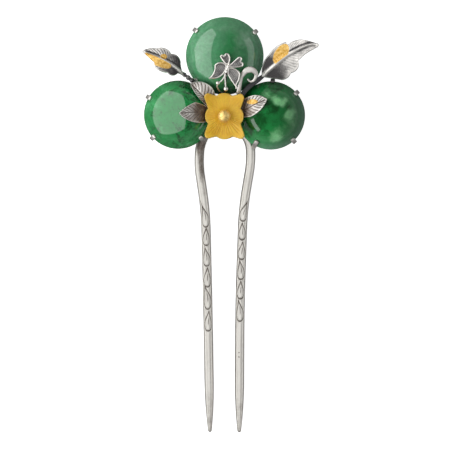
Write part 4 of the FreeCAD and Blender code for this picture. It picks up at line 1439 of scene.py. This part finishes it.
WINGS = [
    [
        (0.6, 16.4, -0.7, 17.8),
        (-1.4, 18.9, -0.9, 19.6),
        (0.0, 19.1, 0.7, 20.1),
        (1.5, 19.7, 1.9, 18.3),
        (1.4, 16.6),
    ],
    [
        (1.4, 16.1, 3.1, 17.7),
        (4.4, 18.8, 5.5, 18.7),
        (4.8, 17.4, 6.1, 16.7),
        (5.8, 15.8, 4.0, 15.5),
        (1.3, 15.6),
    ],
    [(0.9, 16.2, -1.7, 17.2), (-3.2, 16.2, -3.5, 14.0), (-5.1, 12.1, -3.4, 11.9), (-1.8, 12.3, 0.0, 13.7)],
    [(1.1, 15.5, 3.6, 15.1), (5.1, 13.7, 4.9, 12.0), (3.9, 9.9), (4.1, 8.7, 2.5, 10.8), (0.9, 13.4)],
]
WING_MIDDLES = [(0.15, 18.1), (3.9, 16.9), (-1.9, 14.4), (3.2, 12.9)]
WING_HEIGHT = 12.8
WING_SLOPE = 0.158
RIM_WIDTH = 0.5

def wing_under(along):
    """The underside of the wings at a place along the hairpin."""
    return WING_HEIGHT - WING_SLOPE * (19.4 - along)


def inward_from(edge):
    """At each point of a closed outline, the direction square to its neighbours' chord, turned inwards."""
    ahead = np.roll(edge[:-1], -1, axis=0) - np.roll(edge[:-1], 1, axis=0)
    inward = np.column_stack([-ahead[:, 1], ahead[:, 0]])
    inward /= np.linalg.norm(inward, axis=1, keepdims=True)
    area = np.sum(edge[:-1, 0] * edge[1:, 1] - edge[1:, 0] * edge[:-1, 1])
    return np.concatenate([inward, inward[:1]]) * (1 if area > 0 else -1)


print("wing cells:", len(WINGS), "from", round(wing_under(9.0), 1), "to", round(wing_under(19.4), 1), "mm up")

# %% [markdown]
# The rim follows the outline at an even distance. The floor can't, because even steps inwards would cross
# in a narrow wing, so its rings shrink towards a middle that lies inside the cell.

# %% A wing cell


def wing(rows, middle):
    """Rings of the outline: drawn in by a distance for the rim, then shrunk to the middle for the floor."""
    edge = evenly(drawn(rows + rows[:1]), 161)
    inward = inward_from(edge)
    steps = [(0.1, 0.0, 0.0), (0.0, 0.1, 0.0), (0.0, 0.36, 0.0)]
    steps += [(RIM_WIDTH * t, 0.42 + 0.2 * math.sin(math.pi * t), 0.0) for t in np.linspace(0, 1, 9)]
    steps += [(RIM_WIDTH + 0.02, 0.3, 0.6), (RIM_WIDTH + 0.04, 0.27, 0.95)]
    inset, lift, shade = np.array(steps).T[..., None]
    rim = edge + inward * inset[..., None]
    middle = np.asarray(middle, float)
    floor = middle + (rim[-1] - middle) * np.linspace(0.94, 0.0, 20)[:, None, None]
    score = np.sin((floor[..., 0] * 0.8 + floor[..., 1]) * 13.0)
    under = np.broadcast_to(middle, edge.shape)[None]
    flat = np.concatenate([under, rim, floor])
    around = np.zeros(len(edge))
    lifts = np.concatenate([[around], lift + around, 0.25 + 0.03 * score])
    dark = np.concatenate([[around], shade + around, 0.7 - 0.25 * score])
    height = wing_under(flat[..., 1]) + lifts
    return sheet(np.concatenate([flat, height[..., None]], axis=2), soot=dark)


parts = [wing(rows, middle) for rows, middle in zip(WINGS, WING_MIDDLES)]
print("rings and places of a wing cell:", parts[0]["points"].shape[:2])

# %% [markdown]
# The body is a short bar with beads on it, and the feelers are wires that end in balls, as when a wire's
# end is melted. Nothing shows how the butterfly is held, so a stalk behind it runs down to the hub, and a
# thin side wire carries the left feeler.

# %% The butterfly's body, feelers and stalk


def on_wings(x, y, lift=0.35):
    """A point at the height of the butterfly's body."""
    return (x, y, wing_under(y) + lift)

FEELERS = [[(0.2, 13.0), (-0.9, 11.3), (-2.1, 10.6)], [(0.15, 12.9), (0.3, 10.8), (0.48, 8.75)]]
FEELER_BALLS = [(-2.1, 10.6, 0.66), (0.48, 8.75, 0.76)]
BODY_BEADS = [(1.3, 15.8, 0.5), (0.7, 14.2, 0.62), (0.25, 12.9, 0.42), (1.45, 16.6, 0.36)]
BODY = [on_wings(1.4, 16.6), on_wings(0.7, 14.4), on_wings(0.1, 12.6)]
STALK = [(-0.3, 1.6, 7.05), (-0.2, 6.9, 7.05), (0.2, 9.7, 9.25), (0.6, 14.2, 12.9)]
SIDE_WIRE = [(-2.1, 10.4, 11.3), (-2.3, 9.4, 10.5), (-1.5, 8.0, 9.0), (-0.25, 7.2, 7.4)]
parts += [bar([on_wings(x, y) for x, y in points], 0.44, 0.44, count=30) for points in FEELERS]
parts += [bead(on_wings(x, y), size) for x, y, size in FEELER_BALLS]
parts += [bead(on_wings(x, y, 0.5), size) for x, y, size in BODY_BEADS]
parts.append(bar(BODY, 0.8, 0.7, count=24))
parts.append(bar(STALK, 0.7, 0.7, soot=0.9))
parts.append(bar(SIDE_WIRE, 0.48, 0.48, soot=0.2))
make_piece("butterfly_wire", parts, WIRE_SILVER, "butterfly", sharp=50)

# %% [markdown]
# The blossom is carved from one slab, with a broad lobe at each corner and a small one between them. Its
# outline is the same after half a turn, so only half is given. It is turned into a radius for every angle,
# so the whole surface can be one function of the angle and the share of that radius.

# %% The blossom's outline

BLOSSOM_HALF = [
    (2.45, 6.6, 3.6, 6.8),
    (4.7, 7.12, 5.9, 6.82),
    (6.3, 5.6, 5.85, 4.1),
    (5.25, 2.4, 6.2, 0.0),
    (5.25, -2.4, 5.8, -4.1),
    (6.35, -5.7, 6.1, -6.98),
    (4.9, -7.28, 3.7, -6.88),
    (2.45, -6.6, 0.0, -7.45),
]
ROUNDING = 0.32
HOLE = 0.66


def blossom_edge(angle):
    """The outline's radius at each angle."""
    half = BLOSSOM_HALF + [tuple(-value for value in row) for row in BLOSSOM_HALF]
    line = drawn(half + half[:1])
    angles = np.arctan2(line[:, 1], line[:, 0])
    order = np.argsort(angles)
    return np.interp(angle, angles[order], np.hypot(line[:, 0], line[:, 1])[order], period=2 * math.pi)


print("the blossom is", round(2 * float(blossom_edge(0.0)), 1), "mm wide across its middle")

# %% [markdown]
# The top is dished and its lobes swell between the notches. Fine lines are cut outwards from the middle,
# deeper in the lower half, and fade out before the edge, which is rounded like a worn bead.

# %% The carved blossom

BLOSSOM_LOW = 8.1
BLOSSOM_THICK = 1.3
DISH = 50.0
LINES = 44


def blossom_top(angle, share, radius):
    """Height is a dish, radius squared over a constant, plus lobes that are cosines of the angle, less a
    ring round the bud and lines that are narrow cosines of the angle. Gives the height and the cuts."""
    ways = angle + 0.06 * np.sin(3 * angle) + 0.015 * np.sin(23 * angle)
    cut = np.clip(-np.cos(LINES * ways), 0, 1) ** 3
    low_half = 0.35 + 0.65 * ease(-np.sin(angle), -0.5, 0.5)
    cut = cut * ease(share, 0.22, 0.36) * ease(1.0 - share, 0.02, 0.35) * low_half
    swell = 0.2 * np.cos(4 * angle + math.pi) * ease(share, 0.4, 1.0)
    wave = 0.12 * np.sin(8 * angle + 0.6) * ease(share, 0.5, 1.0)
    ring = -0.12 * hump(radius - 2.3, 0.7)
    return BLOSSOM_LOW + BLOSSOM_THICK + radius**2 / DISH + swell + wave + ring - 0.1 * cut, cut


def blossom():
    """The slab: its top, a half circle round its edge, and its dished underside back to the hole."""
    angle = np.linspace(-math.pi, math.pi, 289)
    edge = blossom_edge(angle)
    flat_edge = edge - ROUNDING
    share = np.linspace(0, 1, 60)[:, None]
    radius = HOLE + (flat_edge - HOLE) * share
    top, cut = blossom_top(angle, share, radius)
    turn = np.linspace(0, math.pi, 13)[1:, None]
    rim_radius = flat_edge + ROUNDING * np.sin(turn)
    base = BLOSSOM_LOW + flat_edge**2 / DISH
    thick = top[-1] - base
    rim_height = base + thick / 2 + thick / 2 * np.cos(turn)
    back_radius = HOLE + (flat_edge - HOLE) * np.linspace(1, 0, 16)[1:, None]
    back = BLOSSOM_LOW + back_radius**2 / DISH
    radii = np.concatenate([radius, rim_radius, back_radius, radius[:1]])
    heights = np.concatenate([top, rim_height, back, top[:1]])
    points = np.stack([radii * np.cos(angle), radii * np.sin(angle), heights], axis=-1)
    points[:, -1] = points[:, 0]
    none = np.zeros((len(back) + 1, len(angle)))
    # Marks for painted shade: the cut lines, and the bud's shadow in the ring round it.
    grooves = np.concatenate([0.75 * cut + 0.2 * hump(radius - 2.3, 0.5), 0 * rim_radius, none])
    pale_rim = np.concatenate([ease(share, 0.9, 1.0) + 0 * edge, 0 * rim_radius + 1, none])
    return sheet(points, groove=grooves, rim=pale_rim)


make_piece("carved_blossom", [blossom()], AMBER, "blossom", sharp=60)

# %% [markdown]
# The gilded bud in the middle is the head of the rivet that holds everything together. It is a ball with
# three petals folded over each other, on a shank that goes down through the blossom, the plate and the hub.

# %% The gilded bud

BUD_RADIUS = 2.0
BUD_FOOT = 1.3
SHANK_RADIUS = 0.6
SHANK_END = 0.85


def bud():
    """A ball whose radius dips along three lines that run down from a point near its top."""
    seat = BLOSSOM_LOW + BLOSSOM_THICK + 0.1
    centre = seat + math.sqrt(BUD_RADIUS**2 - BUD_FOOT**2)
    down = np.linspace(0, math.pi - math.asin(BUD_FOOT / BUD_RADIUS), 50)[:, None]
    around = np.linspace(0, 2 * math.pi, 97)
    crease = np.clip(np.cos(3 * (around - math.radians(75)) - 0.5 * down), 0, 1) ** 6
    crease = crease * ease(down, 0.05, 0.35) * ease(1.5 - down, 0.0, 0.8)
    out = BUD_RADIUS * (1 - 0.05 * crease)
    shank = np.array([(BUD_FOOT, seat), (SHANK_RADIUS, seat), (SHANK_RADIUS, SHANK_END), (0.0, SHANK_END)])
    none = np.zeros((len(shank), len(around)))
    radii = np.concatenate([out * np.sin(down), none + shank[:, :1]])
    heights = np.concatenate([centre + out * np.cos(down), none + shank[:, 1:]])
    points = np.stack([radii * np.cos(around), radii * np.sin(around), heights], axis=-1)
    points[:, -1] = points[:, 0]
    return sheet(points, groove=np.concatenate([0.8 * crease, none]))


make_piece("gilded_bud", [bud()], BUD_GOLD, "blossom_stud", sharp=50)

# %% [markdown]
# The pin lies on a plain white sheet. To the camera the sheet shines a little, like a light table, so that
# it is an even white. To everything else it is a mid grey, so it doesn't wash out the edges of the silver.

# %% The white sheet


def white_floor():
    """A pale sheet, lit a little from below, as on a light table."""
    size = 3000.0
    mesh = bpy.data.meshes.new("floor")
    corners = [(-size, -size, -0.02), (size, -size, -0.02), (size, size, -0.02), (-size, size, -0.02)]
    mesh.from_pydata([tuple(v * MM for v in corner) for corner in corners], [], [(0, 1, 2, 3)])
    material = bpy.data.materials.new("white_sheet")
    material.use_nodes = True
    nodes = Nodes(material.node_tree)
    shader = material.node_tree.nodes["Principled BSDF"]
    place = nodes.add("ShaderNodeTexCoord").outputs["Object"]
    fibre = nodes.add("ShaderNodeTexNoise", {"Vector": place, "Scale": 900.0, "Detail": 3.0}).outputs["Fac"]
    tint = nodes.blend(nodes.spread(fibre, 0.3, 0.7), (0.93, 0.93, 0.93, 1), (0.96, 0.96, 0.96, 1))
    seen = nodes.add("ShaderNodeLightPath").outputs["Is Camera Ray"]
    tint = nodes.blend(seen, (0.5, 0.5, 0.5, 1), tint)
    nodes.tree.links.new(tint, shader.inputs["Base Color"])
    nodes.tree.links.new(nodes.math("MULTIPLY", seen, 0.9), shader.inputs["Emission Strength"])
    shader.inputs["Roughness"].default_value = 0.9
    shader.inputs["Emission Color"].default_value = (1, 1, 1, 1)
    mesh.materials.append(material)
    floor = bpy.data.objects.new("floor", mesh)
    bpy.context.scene.collection.objects.link(floor)

white_floor()
print("the sheet lies at the height of the cups' backs")

# %% [markdown]
# Polished stones mirror the room, so the room matters as much as the lamps. It is brighter near the horizon
# than overhead, and the tops of the stones stay deep in colour.

# %% The room


def sky():
    """Brighter near the horizon than overhead: the height of the direction, from 0 to 1, blends two greys."""
    world = bpy.data.worlds.new("studio")
    world.use_nodes = True
    bpy.context.scene.world = world
    nodes = Nodes(world.node_tree)
    direction = nodes.add("ShaderNodeTexCoord").outputs["Generated"]
    height = nodes.add("ShaderNodeSeparateXYZ", {0: direction}).outputs[2]
    tint = nodes.blend(nodes.spread(height, 0.0, 0.75), (0.55, 0.55, 0.55, 1), (0.12, 0.12, 0.12, 1))
    nodes.tree.links.new(tint, world.node_tree.nodes["Background"].inputs["Color"])

sky()
print("the room is", bpy.context.scene.world.name)

# %% [markdown]
# A studio uses large soft boxes, and screens that keep a lamp off one piece. A panel here is a flat lamp
# that may light only some pieces or never light some. Its brightness is given instead of its power, so it
# can be moved or made larger without getting brighter.

# %% Soft panels


def panel(name, place, towards, wide, tall, radiance, only=(), never=()):
    """A flat lamp with the given brightness: its power is brightness times its area times pi. It can be set
    to light only some pieces, or never to light some, as a studio does with screens and flags."""
    lamp = bpy.data.lights.new(name, "AREA")
    lamp.shape = "RECTANGLE"
    lamp.size = wide * MM
    lamp.size_y = tall * MM
    lamp.energy = radiance * wide * tall * MM * MM * math.pi
    made = bpy.data.objects.new(name, lamp)
    made.rotation_euler = Vector(np.subtract(towards, place)).to_track_quat("-Z", "Y").to_euler()
    made.location = Vector(place) * MM
    made.visible_camera = False
    bpy.context.scene.collection.objects.link(made)
    if only or never:
        chosen = bpy.data.collections.new(name + "_choice")
        for piece in only or never:
            chosen.objects.link(bpy.data.objects[piece])
        for entry in chosen.collection_objects:
            entry.light_linking.link_state = "INCLUDE" if only else "EXCLUDE"
        made.light_linking.receiver_collection = chosen
    return made

print("panels can be kept off", len(PIECES), "pieces")

# %% [markdown]
# One large box stands close on the left and gives the long pale shape in the top stone. The left stone has
# its own, larger and nearer, and the right stone is lit from the left as well, with only a small bright
# strip mirrored in it. The rod has a pair of even panels, and a soft one from above lifts all the metal.

# %% Where the lamps stand

NOT_STONES = [name for name in PIECES if not name.startswith("stone_")]
LEFT_BOX = {"place": (-272, 110, 165), "towards": (-173, 110, 149), "wide": 1100, "tall": 335}
SMALL_STONES = ("stone_left", "stone_right")
panel("left_softbox", **LEFT_BOX, radiance=1.95, never=("forked_rod",) + SMALL_STONES)
panel("left_stone_softbox", (-90, 130, 170), (-38, 130, 86), 860, 494, 2.25, only=("stone_left",))
panel("right_fill", (330, 20, 75), (0, 5, 5), 500, 150, 0.8, never=("forked_rod", "stone_right"))
glow = panel("right_stone_glow", **LEFT_BOX, radiance=2.75, only=("stone_right",))
glow.visible_glossy = False
panel("right_stone_glint", (-205, -133, 160), (15, 0, 11), 200, 62, 2.6, only=("stone_right",))
panel("rod_left", (-400, -40, 140), (0, -40, 0), 800, 280, 1.0, only=("forked_rod",))
panel("rod_right", (400, -40, 140), (0, -40, 0), 800, 280, 0.6, only=("forked_rod",))
panel("leaf_glow", (300, 190, 330), (20, 18, 8), 520, 420, 1.9, only=("leaf_right",))
panel("overhead", (-60, -30, 600), (0, -30, 0), 900, 900, 0.9, only=NOT_STONES)
bpy.context.scene.view_settings.view_transform = "Standard"
print("lamps:", ", ".join(lamp.name for lamp in bpy.data.lights))

# %% [markdown]
# The camera looks straight down from three metres through a very long lens, so the far tips and the near
# stones are drawn to the same scale. Its frame is as wide as the picture's pixels times their size.

# %% The camera

PIXEL = 0.32
PHOTO_SIDE = 450
PHOTO_MIDDLE = (0.19, -34.8)
DISTANCE = 3000.0
lens = bpy.data.cameras.new("camera")
lens.sensor_width = 36.0
lens.lens = 36.0 * (DISTANCE - 8.0) / (PIXEL * PHOTO_SIDE)
lens.clip_end = 10.0
camera = bpy.data.objects.new("camera", lens)
camera.location = (PHOTO_MIDDLE[0] * MM, PHOTO_MIDDLE[1] * MM, DISTANCE * MM)
bpy.context.scene.collection.objects.link(camera)
bpy.context.scene.camera = camera
print("lens", round(lens.lens), "mm")

# %% [markdown]
# Last, the scene is brought up to date.

# %% Finish
bpy.context.view_layer.update()
